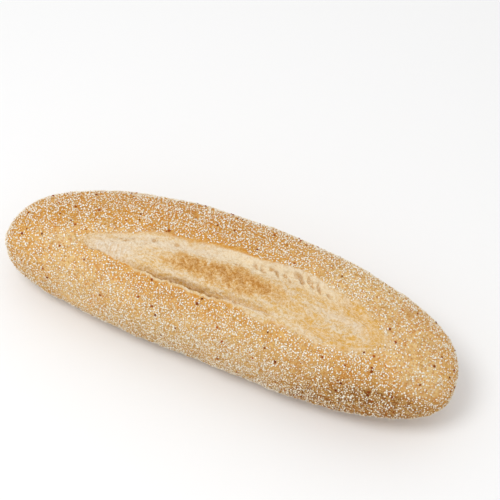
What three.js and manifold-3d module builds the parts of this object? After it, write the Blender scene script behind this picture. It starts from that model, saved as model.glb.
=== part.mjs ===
// A baton: a short, thick loaf rolled in coarse semolina and opened by one long cut on top.
//
// Millimetres, +Z up. X runs along the loaf and Y across it, and the loaf lies on Z = 0 with the
// middle of its box over the origin. Its skin is one closed surface, drawn by two coordinates:
// x, the place along the loaf, and the angle round the loaf in degrees, which is 0 on the far
// side (+Y), 90 on the ridge, 180 on the near side (-Y) and 270 under the loaf.
// The cut is a boat-shaped opening in that skin, and the largest grits are fused onto it.

import * as THREE from "three";
import { mergeVertices } from "three/addons/utils/BufferGeometryUtils.js";
import Module from "manifold-3d";

// --- The loaf -----------------------------------------------------------------------------------

const LENGTH = 270;
const WIDTH = 89;
const HEIGHT = 60;
const WIDEST_AT = 26; // height of the widest line of the flanks
const FOOT_PRESS = 2.5; // how far the dough's underside would sag below the baking sheet
const TOP_SQUARENESS = 2.2; // 2 is an ellipse, more is squarer
const FOOT_SQUARENESS = 2.6;

// The loaf's plan is a stretched superellipse with its own roundness at each quarter.
const PLAN = {
  far: { left: 3.2, right: 1.66, blunt: 3.2 },
  near: { left: 1.5, right: 2.44, blunt: 2.1 },
};
const TOP_FULLER = 0.4; // the top runs nearer to the ends than the plan does
const FOOT_FULLER = 1.2; // and the foot nearer still
const TAPER = 0.035; // share by which the right end is wider than the middle
const TOP_TAPER = 0.0175; // and by which it is higher

// The rolled dough isn't straight: its centre line bends, leans and waves across Y.
const BEND = 13;
const LEAN = -7.4;
const WAVE = -3.4;
const BOX_MIDDLE_Y = 11.5; // Y of the middle of that plan's box, which goes over the origin

// Shallow lumps of hand-rolled dough: height, wavelength along X, turns round the loaf, phase.
const LUMPS = [
  { height: 0.35, wave: 84, turns: 2, phase: 0.9 },
  { height: 0.25, wave: 47, turns: 3, phase: 2.3 },
  { height: 0.15, wave: 31, turns: 1, phase: 4.1 },
];
const LUMPS_START = [2, 14]; // they fade in between these heights, so the foot stays flat

// The near flank isn't even: a flattened left corner, and a waist a little left of the middle.
const NEAR_FLANK = [
  [-114, 0], [-94, -1.1], [-78, 0.2], [-68, 0.5], [-48, 0.3], [-33, 0], [-22, -0.8], [-12, -1.8], [-5, -2.7],
  [1, -1.8], [8, -0.9], [20, -1.4], [34, -1], [52, -0.4], [76, 0],
];
const FLANK_MIDDLE = 190; // degrees round the loaf
const FLANK_REACH = 52;

// --- The cut ------------------------------------------------------------------------------------

// Its two edges: place along X, angle round the loaf.
const FAR_EDGE = [
  [-84, 102], [-66, 98], [-47, 91.5], [-28, 89.5], [-8, 86.4], [15, 84.6], [37, 81.4], [55, 82], [72, 84.4], [96, 88],
];
const NEAR_EDGE = [
  [-84, 116], [-61, 119.3], [-46, 123.5], [-20, 123.5], [-3, 123.6], [9, 121.4], [25, 121.4], [45, 125.4], [58, 127.8],
  [72, 127], [96, 126],
];
// Each end of the opening is rounded: where the rounding starts, and its tip.
const LEFT_END = { from: -75, tip: -84 };
const RIGHT_END = { from: 71, tip: 96 };

// Heights across the opening, measured from the uncut skin: place along X, millimetres.
const FAR_VALLEY = [[-82, -0.8], [-60, -1.3], [-30, -1.6], [0, -2.3], [20, -3.2], [40, -4], [62, -3.6], [94, -1.8]];
const BLOOM = [[-82, -1], [-50, -0.5], [-15, 1.4], [20, 0.9], [45, -1.3], [70, -2.6], [94, -1.6]];
const NEAR_VALLEY = [[-80, -1.2], [-60, -1.7], [-45, -2.7], [-25, -4.6], [-4, -4.5], [12, -3.4], [32, -2.2], [94, -1.6]];
const BLOOM_AT = 0.5; // share of the way across, where the risen crumb stands highest
const FAR_WALL = 0.2; // share of the half width that each wall takes
const NEAR_WALL = 0.12;
const SOFT_WALL = 0.55; // the near wall at the right, where the skin only stretched
const SOFT_FROM = [22, 48]; // X over which the near wall turns from torn to stretched

// Both edges curl up, and the near one, the ear, also leans over the opening.
const FAR_CURL = [[-86, 0], [-60, 0.6], [0, 0.8], [60, 0.7], [96, 0]];
const EAR = [[-82, 0], [-62, 0.7], [-40, 1.5], [-22, 2.2], [-5, 2.2], [14, 1.4], [32, 0]];
const FAR_CURL_REACH = 5; // degrees round the loaf over which the curl dies away
const EAR_REACH = 8;
const EAR_LEAN = 0.9; // millimetres of overhang for each millimetre of ear
const EAR_TUCK = 0.45; // the same for the hollow under it

// --- The grits ----------------------------------------------------------------------------------

const GRIT_COUNT = 190;
const GRIT = { length: 2.5, width: 1.7, thickness: 1.5 };
const GRIT_SIZE_SPREAD = 0.15;
const GRIT_STANDS_OUT = 0.1; // millimetres from the skin up to the grain's middle
const GRIT_LOWEST = 5; // no grits lower than this, where the loaf lies
const CUT_MARGIN = { x: 4, degrees: 4 }; // bare skin beside the cut
const SEED = 20;

// --- The mesh -----------------------------------------------------------------------------------

// Rings along the loaf, closer together towards each end and each tip of the cut.
const RINGS = [
  { from: LEFT_END.tip, to: -LENGTH / 2, count: 11, closing: true },
  { from: LEFT_END.from, to: LEFT_END.tip, count: 4, closing: true },
  { from: LEFT_END.from, to: RIGHT_END.from, count: 29 },
  { from: RIGHT_END.from, to: RIGHT_END.tip, count: 7, closing: true },
  { from: RIGHT_END.tip, to: LENGTH / 2, count: 10, closing: true },
];
// Columns round the loaf: degrees beyond each edge of the cut, and shares of the way across it.
const FAR_COLUMNS = [1.5, 5, 11, 20, 32, 45, 59, 74, 90, 107, 125, 144];
const CUT_COLUMNS = [0, 0.05, 0.12, 0.24, 0.37, 0.5, 0.63, 0.76, 0.88, 0.95, 1];
const NEAR_COLUMNS = [2, 6, 12, 21, 32, 44, 57, 71, 86, 102, 118];
const NARROWEST = 0.4; // share of the opening's width that the cut's columns keep beyond its tips

const UNDER = 270; // the angle of the line under the loaf

const clamp = (value, low, high) => Math.min(Math.max(value, low), high);
const mix = (a, b, share) => a + (b - a) * share;
const radians = (degrees) => (degrees * Math.PI) / 180;

function smooth(value, from = 0, to = 1) {
  const share = clamp((value - from) / (to - from), 0, 1);
  return share * share * (3 - 2 * share);
}

// A smooth line through [x, value] pairs, level beyond its ends.
function along(pairs, x) {
  if (x <= pairs[0][0]) return pairs[0][1];
  const next = pairs.findIndex(([at]) => at > x);
  if (next < 0) return pairs.at(-1)[1];
  const slope = (i) => {
    if (i <= 0 || i >= pairs.length - 1) return 0;
    return (pairs[i + 1][1] - pairs[i - 1][1]) / (pairs[i + 1][0] - pairs[i - 1][0]);
  };
  const [x0, y0] = pairs[next - 1];
  const [x1, y1] = pairs[next];
  const run = x1 - x0;
  const t = (x - x0) / run;
  const bend = t * t * (3 - 2 * t);
  const leave = t * (1 - t) * (1 - t) * run * slope(next - 1);
  const arrive = t * t * (t - 1) * run * slope(next);
  return y0 + (y1 - y0) * bend + leave + arrive;
}

// How wide the loaf is at t, from -1 at the left end to 1 at the right, as a share of its middle.
function fullness(t, { left, right, blunt }, fuller = 0) {
  const power = (t < 0 ? left : right) + fuller;
  return Math.pow(clamp(1 - Math.pow(Math.abs(t), power), 0, 1), 1 / blunt);
}

const MEAN_PLAN = {
  left: (PLAN.far.left + PLAN.near.left) / 2,
  right: (PLAN.far.right + PLAN.near.right) / 2,
  blunt: (PLAN.far.blunt + PLAN.near.blunt) / 2,
};

function centreLine(t) {
  return BEND * (1 - t * t) + LEAN * t * t * t + WAVE * Math.sin(Math.PI * t) - BOX_MIDDLE_Y;
}

// The plain rolled dough, with no cut and no lumps.
function dough(x, degrees) {
  const t = (2 * x) / LENGTH;
  const across = Math.cos(radians(degrees));
  const up = Math.sin(radians(degrees));
  const plan = across > 0 ? PLAN.far : PLAN.near;
  const half = (WIDTH / 2) * fullness(t, plan) * (1 + TAPER * t);
  const rise = (HEIGHT - WIDEST_AT) * fullness(t, MEAN_PLAN, TOP_FULLER) * (1 + TOP_TAPER * t);
  const drop = (WIDEST_AT + FOOT_PRESS) * fullness(t, MEAN_PLAN, FOOT_FULLER);
  const power = 2 / (up > 0 ? TOP_SQUARENESS : FOOT_SQUARENESS);
  const y = centreLine(t) + half * Math.sign(across) * Math.pow(Math.abs(across), power);
  const z = WIDEST_AT + (up > 0 ? rise : -drop) * Math.pow(Math.abs(up), power);
  return new THREE.Vector3(x, y, Math.max(z, 0));
}

// A unit vector square to a surface, and one along it towards the near side.
function directions(surface, x, degrees) {
  const step = 0.5;
  const ahead = surface(x + step, degrees).sub(surface(x - step, degrees));
  const round = surface(x, degrees + step).sub(surface(x, degrees - step));
  return { out: round.clone().cross(ahead).normalize(), round: round.normalize() };
}

// How far x lies into an end of the opening: 0 where its rounding starts, 1 at the tip.
function endShare(x) {
  const share = ({ from, tip }) => Math.max(0, (x - from) / (tip - from));
  return share(LEFT_END) + share(RIGHT_END);
}

// Height and lean that the cut gives to the skin.
function cutRelief(x, degrees) {
  const farEdge = along(FAR_EDGE, x);
  const nearEdge = along(NEAR_EDGE, x);
  const across = (degrees - farEdge) / (nearEdge - farEdge);
  const onFarSide = across < BLOOM_AT;
  const ear = along(EAR, x);
  // 1 on the middle line of the opening, 0 on its outline, less outside
  const inside = 1 - Math.hypot(endShare(x), 2 * across - 1);
  if (inside <= 0 && onFarSide) {
    const away = (-inside * (nearEdge - farEdge)) / 2 / FAR_CURL_REACH;
    return { height: along(FAR_CURL, x) * Math.exp(-away * away), lean: 0 };
  }
  if (inside <= 0) {
    const away = (-inside * (nearEdge - farEdge)) / 2 / EAR_REACH;
    const fade = Math.exp(-away * away);
    return { height: ear * fade, lean: -EAR_LEAN * ear * fade * fade };
  }
  const climb = onFarSide ? across / BLOOM_AT : (1 - across) / (1 - BLOOM_AT);
  const floor = mix(along(onFarSide ? FAR_VALLEY : NEAR_VALLEY, x), along(BLOOM, x), smooth(climb, 0.2, 1));
  const nearWall = mix(NEAR_WALL, SOFT_WALL, smooth(x, ...SOFT_FROM));
  const wall = smooth(inside, 0, onFarSide ? FAR_WALL : nearWall);
  const rim = onFarSide ? along(FAR_CURL, x) : ear;
  const tuck = onFarSide ? 0 : ear * EAR_TUCK * smooth(across, 0.8, 0.95);
  return { height: mix(rim, floor, wall), lean: mix(onFarSide ? 0 : -EAR_LEAN * ear, tuck, wall) };
}

function unevenness(x, degrees, z) {
  const sum = LUMPS.reduce(
    (total, { height, wave, turns, phase }) =>
      total + height * Math.sin((2 * Math.PI * x) / wave + phase) * Math.cos(turns * radians(degrees) + phase),
    0,
  );
  const away = (degrees - FLANK_MIDDLE) / FLANK_REACH;
  const flank = along(NEAR_FLANK, x) * Math.pow(Math.max(0, 1 - away * away), 2);
  return (sum * fullness((2 * x) / LENGTH, MEAN_PLAN) + flank) * smooth(z, ...LUMPS_START);
}

// The finished skin of the loaf.
function skin(x, degrees) {
  const point = dough(x, degrees);
  const { out, round } = directions(dough, x, degrees);
  const { height, lean } = cutRelief(x, degrees);
  return point.addScaledVector(out, height + unevenness(x, degrees, point.z)).addScaledVector(round, lean);
}

function ringPlaces() {
  const places = RINGS.flatMap(({ from, to, count, closing }) =>
    Array.from({ length: count }, (_, i) => {
      const share = (i + 0.5) / count;
      return mix(from, to, closing ? Math.sin((share * Math.PI) / 2) : share);
    }),
  );
  return places.sort((a, b) => a - b);
}

// The cut's columns close in with the rounded ends of the opening, and the others follow them.
function columnAngles(x) {
  const middle = (along(FAR_EDGE, x) + along(NEAR_EDGE, x)) / 2;
  const closed = Math.sqrt(Math.max(0, 1 - endShare(x) ** 2));
  const half = (Math.max(NARROWEST, closed) * (along(NEAR_EDGE, x) - along(FAR_EDGE, x))) / 2;
  const spread = (columns, span) => {
    const reach = 2 * columns.at(-1) - columns.at(-2);
    return columns.map((degrees) => (degrees * span) / reach);
  };
  return [
    UNDER - 360,
    ...spread(FAR_COLUMNS, middle - half - (UNDER - 360)).toReversed().map((degrees) => middle - half - degrees),
    ...CUT_COLUMNS.map((share) => middle + half * (2 * share - 1)),
    ...spread(NEAR_COLUMNS, UNDER - middle - half).map((degrees) => middle + half + degrees),
  ];
}

// The loaf's skin as one closed mesh: rings of vertices, and a single vertex at each end.
function loafGeometry() {
  const rings = ringPlaces().map((x) => columnAngles(x).map((degrees) => skin(x, degrees)));
  const round = rings[0].length;
  const tip = (x) => new THREE.Vector3(x, centreLine((2 * x) / LENGTH), WIDEST_AT);
  const vertices = [tip(-LENGTH / 2), ...rings.flat(), tip(LENGTH / 2)];
  const at = (ring, column) => 1 + ring * round + (column % round);
  const faces = [];
  for (let column = 0; column < round; column++) {
    faces.push(0, at(0, column + 1), at(0, column));
    for (let ring = 0; ring < rings.length - 1; ring++) {
      faces.push(at(ring, column), at(ring + 1, column + 1), at(ring + 1, column));
      faces.push(at(ring, column), at(ring, column + 1), at(ring + 1, column + 1));
    }
    faces.push(at(rings.length - 1, column), at(rings.length - 1, column + 1), vertices.length - 1);
  }
  const geometry = new THREE.BufferGeometry().setFromPoints(vertices);
  geometry.setIndex(faces);
  return geometry;
}

// A small seeded generator, so that the grits fall the same way each time.
function generator(seed) {
  let state = seed;
  return () => {
    state = (Math.imul(state, 1664525) + 1013904223) >>> 0;
    return state / 2 ** 32;
  };
}

// The angle that lies a share of the way round the loaf, by length of skin.
function angleAtShare(x, share) {
  const steps = 72;
  const points = Array.from({ length: steps + 1 }, (_, i) => dough(x, (360 * i) / steps));
  const lengths = points.slice(1).map((point, i) => point.distanceTo(points[i]));
  const girth = lengths.reduce((a, b) => a + b, 0);
  let left = share * girth;
  let i = 0;
  while (left > lengths[i] && i < steps - 1) left -= lengths[i++];
  return { degrees: (360 * (i + left / lengths[i])) / steps, girth };
}

function isBare(x, degrees, z) {
  if (z < GRIT_LOWEST) return true;
  const inCut = x > LEFT_END.tip - CUT_MARGIN.x && x < RIGHT_END.tip + CUT_MARGIN.x;
  const farEdge = along(FAR_EDGE, x) - CUT_MARGIN.degrees;
  const nearEdge = along(NEAR_EDGE, x) + CUT_MARGIN.degrees;
  return inCut && degrees > farEdge && degrees < nearEdge;
}

// Even places on the skin, from a sequence that fills the plane without clumps.
function gritPlaces() {
  const random = generator(SEED);
  const places = [];
  const widest = angleAtShare(0, 0).girth;
  for (let i = 1; places.length < GRIT_COUNT; i++) {
    const x = LENGTH * (((0.5 + i * 0.7548776662) % 1) - 0.5) * 0.985;
    const { degrees, girth } = angleAtShare(x, (0.5 + i * 0.569840291) % 1);
    const spin = 2 * Math.PI * random();
    const size = 1 + GRIT_SIZE_SPREAD * (2 * random() - 1);
    const kept = random() < girth / widest;
    if (kept && !isBare(x, degrees, dough(x, degrees).z)) places.push({ x, degrees, spin, size });
  }
  return places;
}

// One broken grain of semolina, lying flat on the loaf where a line from outside meets it.
function gritGeometry({ x, degrees, spin, size }, loaf) {
  const { out, round } = directions(skin, x, degrees);
  const ahead = new THREE.Vector3().crossVectors(out, round);
  const start = skin(x, degrees).addScaledVector(out, 4);
  const [meeting] = new THREE.Raycaster(start, out.clone().negate()).intersectObject(loaf);
  const centre = meeting.point.addScaledVector(out, GRIT_STANDS_OUT);
  return new THREE.IcosahedronGeometry(size / 2, 0)
    .rotateX(spin * 3)
    .scale(GRIT.length, GRIT.width, GRIT.thickness)
    .rotateZ(spin)
    .applyMatrix4(new THREE.Matrix4().makeBasis(round, ahead, out).setPosition(centre));
}

const wasm = await Module();
wasm.setup();

function toSolid(geometry) {
  geometry.deleteAttribute("normal");
  geometry.deleteAttribute("uv");
  const merged = mergeVertices(geometry, 1e-4);
  const vertProperties = new Float32Array(merged.attributes.position.array);
  return new wasm.Manifold(
    new wasm.Mesh({ numProp: 3, vertProperties, triVerts: new Uint32Array(merged.index.array) }),
  );
}

function toGeometry(solid) {
  const { vertProperties, triVerts } = solid.getMesh();
  const geometry = new THREE.BufferGeometry();
  geometry.setAttribute("position", new THREE.BufferAttribute(vertProperties, 3));
  geometry.setIndex(new THREE.BufferAttribute(triVerts, 1));
  geometry.computeVertexNormals();
  return geometry;
}

// Grits are joined into one solid first, and that solid once to the loaf.
function batonGeometry() {
  const loaf = new THREE.Mesh(loafGeometry());
  const grits = gritPlaces().map((place) => toSolid(gritGeometry(place, loaf)));
  const topping = grits.reduce((all, grit) => all.add(grit));
  return toGeometry(toSolid(loaf.geometry).add(topping));
}

const crust = new THREE.MeshStandardMaterial({ color: 0xd9a860, roughness: 0.75, metalness: 0 });
const baton = new THREE.Mesh(batonGeometry(), crust);
baton.name = "baton";

const part = new THREE.Group();
part.add(baton);

export default part;
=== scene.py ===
# %% [markdown]
# # A bread baton rolled in coarse semolina
#
# The real thing is one short, thick loaf. Its dough was rolled in semolina, cut once along the top,
# and baked until the cut opened. What the eye sees is three things: a golden crust, a pale torn
# opening with a few toasted patches, and thousands of grits stuck to the crust.
#
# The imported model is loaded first, as a fixed frame. Its one solid has the right form but is
# coarse, so a fine loaf takes its place at the end, in the same spot and of the same size.

# %% Load the frame
import math

import bpy
import numpy as np
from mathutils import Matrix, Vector, noise


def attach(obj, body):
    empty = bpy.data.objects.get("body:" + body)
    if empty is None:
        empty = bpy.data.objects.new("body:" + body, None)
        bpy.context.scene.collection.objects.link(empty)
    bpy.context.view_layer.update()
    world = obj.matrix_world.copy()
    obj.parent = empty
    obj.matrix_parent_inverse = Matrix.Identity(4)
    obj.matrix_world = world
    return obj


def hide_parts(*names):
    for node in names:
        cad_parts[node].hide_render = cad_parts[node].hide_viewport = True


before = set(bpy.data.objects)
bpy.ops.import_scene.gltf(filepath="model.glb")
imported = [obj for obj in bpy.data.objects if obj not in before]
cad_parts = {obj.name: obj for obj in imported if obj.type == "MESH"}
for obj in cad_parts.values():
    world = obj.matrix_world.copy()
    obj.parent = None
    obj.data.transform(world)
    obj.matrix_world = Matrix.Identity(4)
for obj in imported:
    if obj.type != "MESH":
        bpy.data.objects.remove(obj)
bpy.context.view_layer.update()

MM = 0.001

# %% [markdown]
# ## Camera, floor and light
#
# The camera stands a little to the right of the loaf and looks down at 53 degrees, from 80 cm with
# a long lens, so the far end hardly shrinks. The light is that of a product table: an even bright
# surround, and one soft lamp high up in front, a little to the left, that reaches into the cut.

# %% Camera
CAMERA_ROUND = math.radians(19.08)
CAMERA_ABOVE = math.radians(53)
CAMERA_AWAY = 0.8
CAMERA_LENS, CAMERA_SENSOR, SEES_TO = 100.2, 36, 20
LOOKS_AT = Vector((0.0016, 0.0307, 0.030))

towards_camera = Vector((
    math.sin(CAMERA_ROUND) * math.cos(CAMERA_ABOVE),
    -math.cos(CAMERA_ROUND) * math.cos(CAMERA_ABOVE),
    math.sin(CAMERA_ABOVE),
))
bpy.ops.object.camera_add(
    location=LOOKS_AT + towards_camera * CAMERA_AWAY,
    rotation=towards_camera.to_track_quat("Z", "Y").to_euler(),
)
camera = bpy.context.object
camera.data.sensor_width = CAMERA_SENSOR
camera.data.lens = CAMERA_LENS
camera.data.clip_end = SEES_TO
bpy.context.scene.camera = camera
print("camera at", [round(v, 3) for v in camera.location])

# %% Floor and light
SURROUND = 0.815
LAMP_WATTS = 2.9
LAMP_SIZE = 0.40
LAMP_AT = Vector((-0.22, -0.30, 0.88))
FLOOR_SIZE = 6
PAPER_WHITE, PAPER_ROUGH = 0.92, 0.9


def new_material(name, roughness, sheen=0.5):
    """A plain material, given together with its Principled BSDF node."""
    material = bpy.data.materials.new(name)
    material.use_nodes = True
    shader = material.node_tree.nodes["Principled BSDF"]
    shader.inputs["Roughness"].default_value = roughness
    shader.inputs["Specular IOR Level"].default_value = sheen
    return material, shader


bpy.ops.mesh.primitive_plane_add(size=FLOOR_SIZE, location=(0, 0, 0))
floor = bpy.context.object
floor.name = "floor"
paper, paper_shader = new_material("pale_paper", PAPER_ROUGH)
paper_shader.inputs["Base Color"].default_value = (PAPER_WHITE, PAPER_WHITE, PAPER_WHITE, 1)
floor.data.materials.append(paper)

world = bpy.data.worlds.new("surround")
world.use_nodes = True
world.node_tree.nodes["Background"].inputs["Color"].default_value = (1, 1, 1, 1)
world.node_tree.nodes["Background"].inputs["Strength"].default_value = SURROUND
bpy.context.scene.world = world

bpy.ops.object.light_add(
    type="AREA", location=LAMP_AT, rotation=LAMP_AT.to_track_quat("Z", "Y").to_euler()
)
lamp = bpy.context.object
lamp.data.shape = "DISK"
lamp.data.size = LAMP_SIZE
lamp.data.energy = LAMP_WATTS
bpy.context.scene.view_settings.view_transform = "Standard"
print("lamp of", LAMP_WATTS, "W at", [round(v, 2) for v in LAMP_AT])

# %% [markdown]
# ## The rolled dough
#
# A loaf could be sculpted by hand, but here it has to match the solid that it replaces, so it is
# drawn by the same two coordinates. The first is x, the place along the loaf in millimetres. The
# second is the angle round it in degrees: 0 on the far side, 90 on the ridge, 180 on the near side
# and 270 under the loaf. Across, the loaf is a squarish ellipse; from above, each quarter of its
# outline has its own roundness, and its middle line bends and waves as rolled dough does.

# %% Sizes of the dough, in millimetres
LENGTH, WIDTH, HEIGHT = 270, 89, 60
WIDEST_AT = 26  # height of the widest place
FOOT_PRESS = 2.5  # how far the foot would reach below the floor, and is pressed flat instead
TOP_SQUARENESS, FOOT_SQUARENESS = 2.2, 2.6  # 2 gives an ellipse, and more a squarer section
# the power of each quarter's outline, seen from above, and how blunt it ends
FAR_PLAN = {"left": 3.2, "right": 1.66, "blunt": 3.2}
NEAR_PLAN = {"left": 1.5, "right": 2.44, "blunt": 2.1}
MEAN_PLAN = {side: (FAR_PLAN[side] + NEAR_PLAN[side]) / 2 for side in FAR_PLAN}
TOP_FULLER, FOOT_FULLER = 0.4, 1.2
TAPER, TOP_TAPER = 0.035, 0.0175  # how much more at the right end than in the middle, as a share
BEND, LEAN, WAVE, BOX_MIDDLE_Y = 13, -7.4, -3.4, 11.5
PROBE = 0.5  # how far to either side of a point its surface is probed, in millimetres and degrees
TINY = 1e-9  # keeps a length that is divided by from being zero


def smooth(value, low=0.0, high=1.0):
    """0 below low, 1 above high, and an S-shaped rise between them."""
    share = np.clip((value - low) / (high - low), 0, 1)
    return share * share * (3 - 2 * share)


def mix(a, b, share):
    """a where share is 0, b where it is 1, and straight in between."""
    return a + (b - a) * share


print("dough:", LENGTH, "mm long,", WIDTH, "mm wide,", HEIGHT, "mm high")


# %% The plain rolled dough
def fullness(t, plan, fuller=0.0):
    """How wide the loaf is at t, from -1 to 1 along it, as a share of its middle."""
    power = np.where(t < 0, plan["left"], plan["right"]) + fuller
    return np.clip(1 - np.abs(t) ** power, 0, 1) ** (1 / plan["blunt"])


def dough(x, degrees):
    """The plain rolled dough, before the oven: points in millimetres."""
    t = 2 * x / LENGTH
    across, up = np.cos(np.radians(degrees)), np.sin(np.radians(degrees))
    plan = np.where(across > 0, fullness(t, FAR_PLAN), fullness(t, NEAR_PLAN))
    half = WIDTH / 2 * plan * (1 + TAPER * t)
    rise = (HEIGHT - WIDEST_AT) * fullness(t, MEAN_PLAN, TOP_FULLER) * (1 + TOP_TAPER * t)
    drop = (WIDEST_AT + FOOT_PRESS) * fullness(t, MEAN_PLAN, FOOT_FULLER)
    power = 2 / np.where(up > 0, TOP_SQUARENESS, FOOT_SQUARENESS)
    middle = BEND * (1 - t * t) + LEAN * t**3 + WAVE * np.sin(np.pi * t) - BOX_MIDDLE_Y
    y = middle + half * np.sign(across) * np.abs(across) ** power
    z = WIDEST_AT + np.where(up > 0, rise, -drop) * np.abs(up) ** power
    return np.stack([x, y, np.maximum(z, 0)], axis=-1)


def directions(x, degrees):
    """Unit vectors out of the rolled dough, and along it towards the near side."""
    ahead = dough(x + PROBE, degrees) - dough(x - PROBE, degrees)
    around = dough(x, degrees + PROBE) - dough(x, degrees - PROBE)
    out = np.cross(around, ahead)
    out /= np.linalg.norm(out, axis=-1, keepdims=True) + TINY
    return out, around / (np.linalg.norm(around, axis=-1, keepdims=True) + TINY)


# %% [markdown]
# ## The opened cut
#
# A baker's blade makes a shallow slit, and the oven does the rest: the dough inside pushes up and
# tears, one edge lifts into a lip called the ear, and the other stays behind as a low wall. A
# Boolean would give a clean machined slot. Instead the opening is written as a height above the
# uncut skin, which runs down each wall into a valley and up again over the risen middle.

# %% Lines of the cut
# (x in mm, degrees round the loaf) along the two torn edges
FAR_EDGE = [
    (-84, 102), (-66, 98), (-47, 91.5), (-28, 89.5), (-8, 86.4), (15, 84.6), (37, 81.4), (55, 82),
    (72, 84.4), (96, 88),
]
NEAR_EDGE = [
    (-84, 116), (-61, 119.5), (-46, 123.8), (-32, 125), (-20, 125.4), (-10, 125.4), (-2, 124.6),
    (9, 121.8), (25, 121.4), (45, 125.4), (58, 127.8), (72, 127), (96, 126),
]
# x where the opening starts to round off, and of its tip
LEFT_START, LEFT_TIP = -75, -84
RIGHT_START, RIGHT_TIP = 71, 96
# (x in mm, height above the uncut skin in mm) along the floor of the opening
FAR_VALLEY = [
    (-82, -0.6), (-60, -0.9), (-30, -1.0), (0, -1.6), (20, -2.8), (40, -3.6), (62, -3.2), (80, -2.2),
    (94, -1.0),
]
BLOOM = [(-82, -1), (-50, -0.5), (-15, 1.4), (20, 0.9), (45, -1.3), (70, -2.5), (94, -1.0)]
NEAR_VALLEY = [
    (-80, -1.0), (-60, -1.1), (-46, -1.5), (-36, -2.3), (-25, -3.5), (-12, -3.4), (-2, -2.4),
    (8, -1.8), (32, -1.8), (70, -2.2), (94, -0.9),
]
BLOOM_AT = 0.5
VALLEY_LEVEL = 0.1  # the share of the way to the bloom on which a valley stays level
# widths of the walls as shares of the opening, and where along x each turns soft
FAR_WALL, NEAR_WALL, SOFT_WALL = 0.22, 0.12, 0.55
FAR_TURNS_SOFT, NEAR_TURNS_SOFT = (66, 92), (22, 48)
FAR_SHOULDER, NEAR_SHOULDER = 0.85, 0.5  # the share of the way to the bloom on which the floor climbs
# (x in mm, height in mm) along the curled far edge and along the ear
FAR_CURL = [(-86, 0), (-60, 0.1), (-30, 0.4), (0, 0.8), (40, 0.5), (60, 0.3), (96, 0)]
EAR = [(-82, 0), (-62, 0.5), (-40, 1.2), (-22, 1.9), (-8, 1.5), (4, 0.7), (16, 0.3), (32, 0)]
FAR_CURL_REACH, EAR_REACH = 5, 8
EAR_LEAN, EAR_TUCK, TUCK_ACROSS = 0.8, 0.3, (0.8, 0.95)
print("the cut runs from x", LEFT_TIP, "to", RIGHT_TIP, "mm")

# %% Smooth lines through these places
def along(knots, x):
    """A smooth line through (x, value) knots, level beyond its ends."""
    at, value = np.array(knots, float).T
    slope = np.zeros_like(value)
    slope[1:-1] = (value[2:] - value[:-2]) / (at[2:] - at[:-2])
    x = np.clip(x, at[0], at[-1])
    i = np.clip(np.searchsorted(at, x, side="right") - 1, 0, len(at) - 2)
    run = at[i + 1] - at[i]
    t = (x - at[i]) / run
    straight = mix(value[i], value[i + 1], t * t * (3 - 2 * t))
    return straight + t * (1 - t) ** 2 * run * slope[i] + t * t * (t - 1) * run * slope[i + 1]


def end_share(x):
    """How far x lies into a rounded end of the opening: 0 at its start, 1 at the tip."""
    left = np.maximum(0, (LEFT_START - x) / (LEFT_START - LEFT_TIP))
    return left + np.maximum(0, (x - RIGHT_START) / (RIGHT_TIP - RIGHT_START))


# %% [markdown]
# The torn edges aren't clean lines. The far one wavers a little, and the ear is ragged, because
# the crust along it broke in small steps as it dried. One-dimensional noise along x does both.

# %% Ragged edges
# (wavelength in mm, height) of each wave, and the line's place in the noise
FAR_RAGGED = [(11, 0.8), (3.1, 0.7)], 3.3
NEAR_RAGGED = [(9, 1.0), (3.4, 1.4), (1.5, 0.8)], 8.1
EAR_RAGGED = [(7, 0.4), (2.4, 0.35)], 5.7
RAGGED_POINTS = 2701


def ragged(x, waves, seed):
    """Noise along the loaf: the sum of (wavelength in mm, height) pairs."""
    total = np.zeros_like(x)
    table = np.linspace(-LENGTH / 2, LENGTH / 2, RAGGED_POINTS)
    for wavelength, height in waves:
        wave = [noise.noise((v / wavelength, seed, wavelength)) for v in table.tolist()]
        total += height * np.interp(x, table, np.array(wave))
    return total


def edges(x):
    """The torn far and near edges of the opening, in degrees round the loaf."""
    return along(FAR_EDGE, x) + ragged(x, *FAR_RAGGED), along(NEAR_EDGE, x) + ragged(x, *NEAR_RAGGED)


# %% [markdown]
# One number says where a point lies: its inside value is 1 on the middle line of the opening, 0 on
# its edge and less than 0 outside. Walls, rims and fades are all written in terms of it, so they
# follow the edges round both tips. The ear also leans over the opening, which a height can't say,
# so the skin is pushed sideways there as well.

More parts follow.
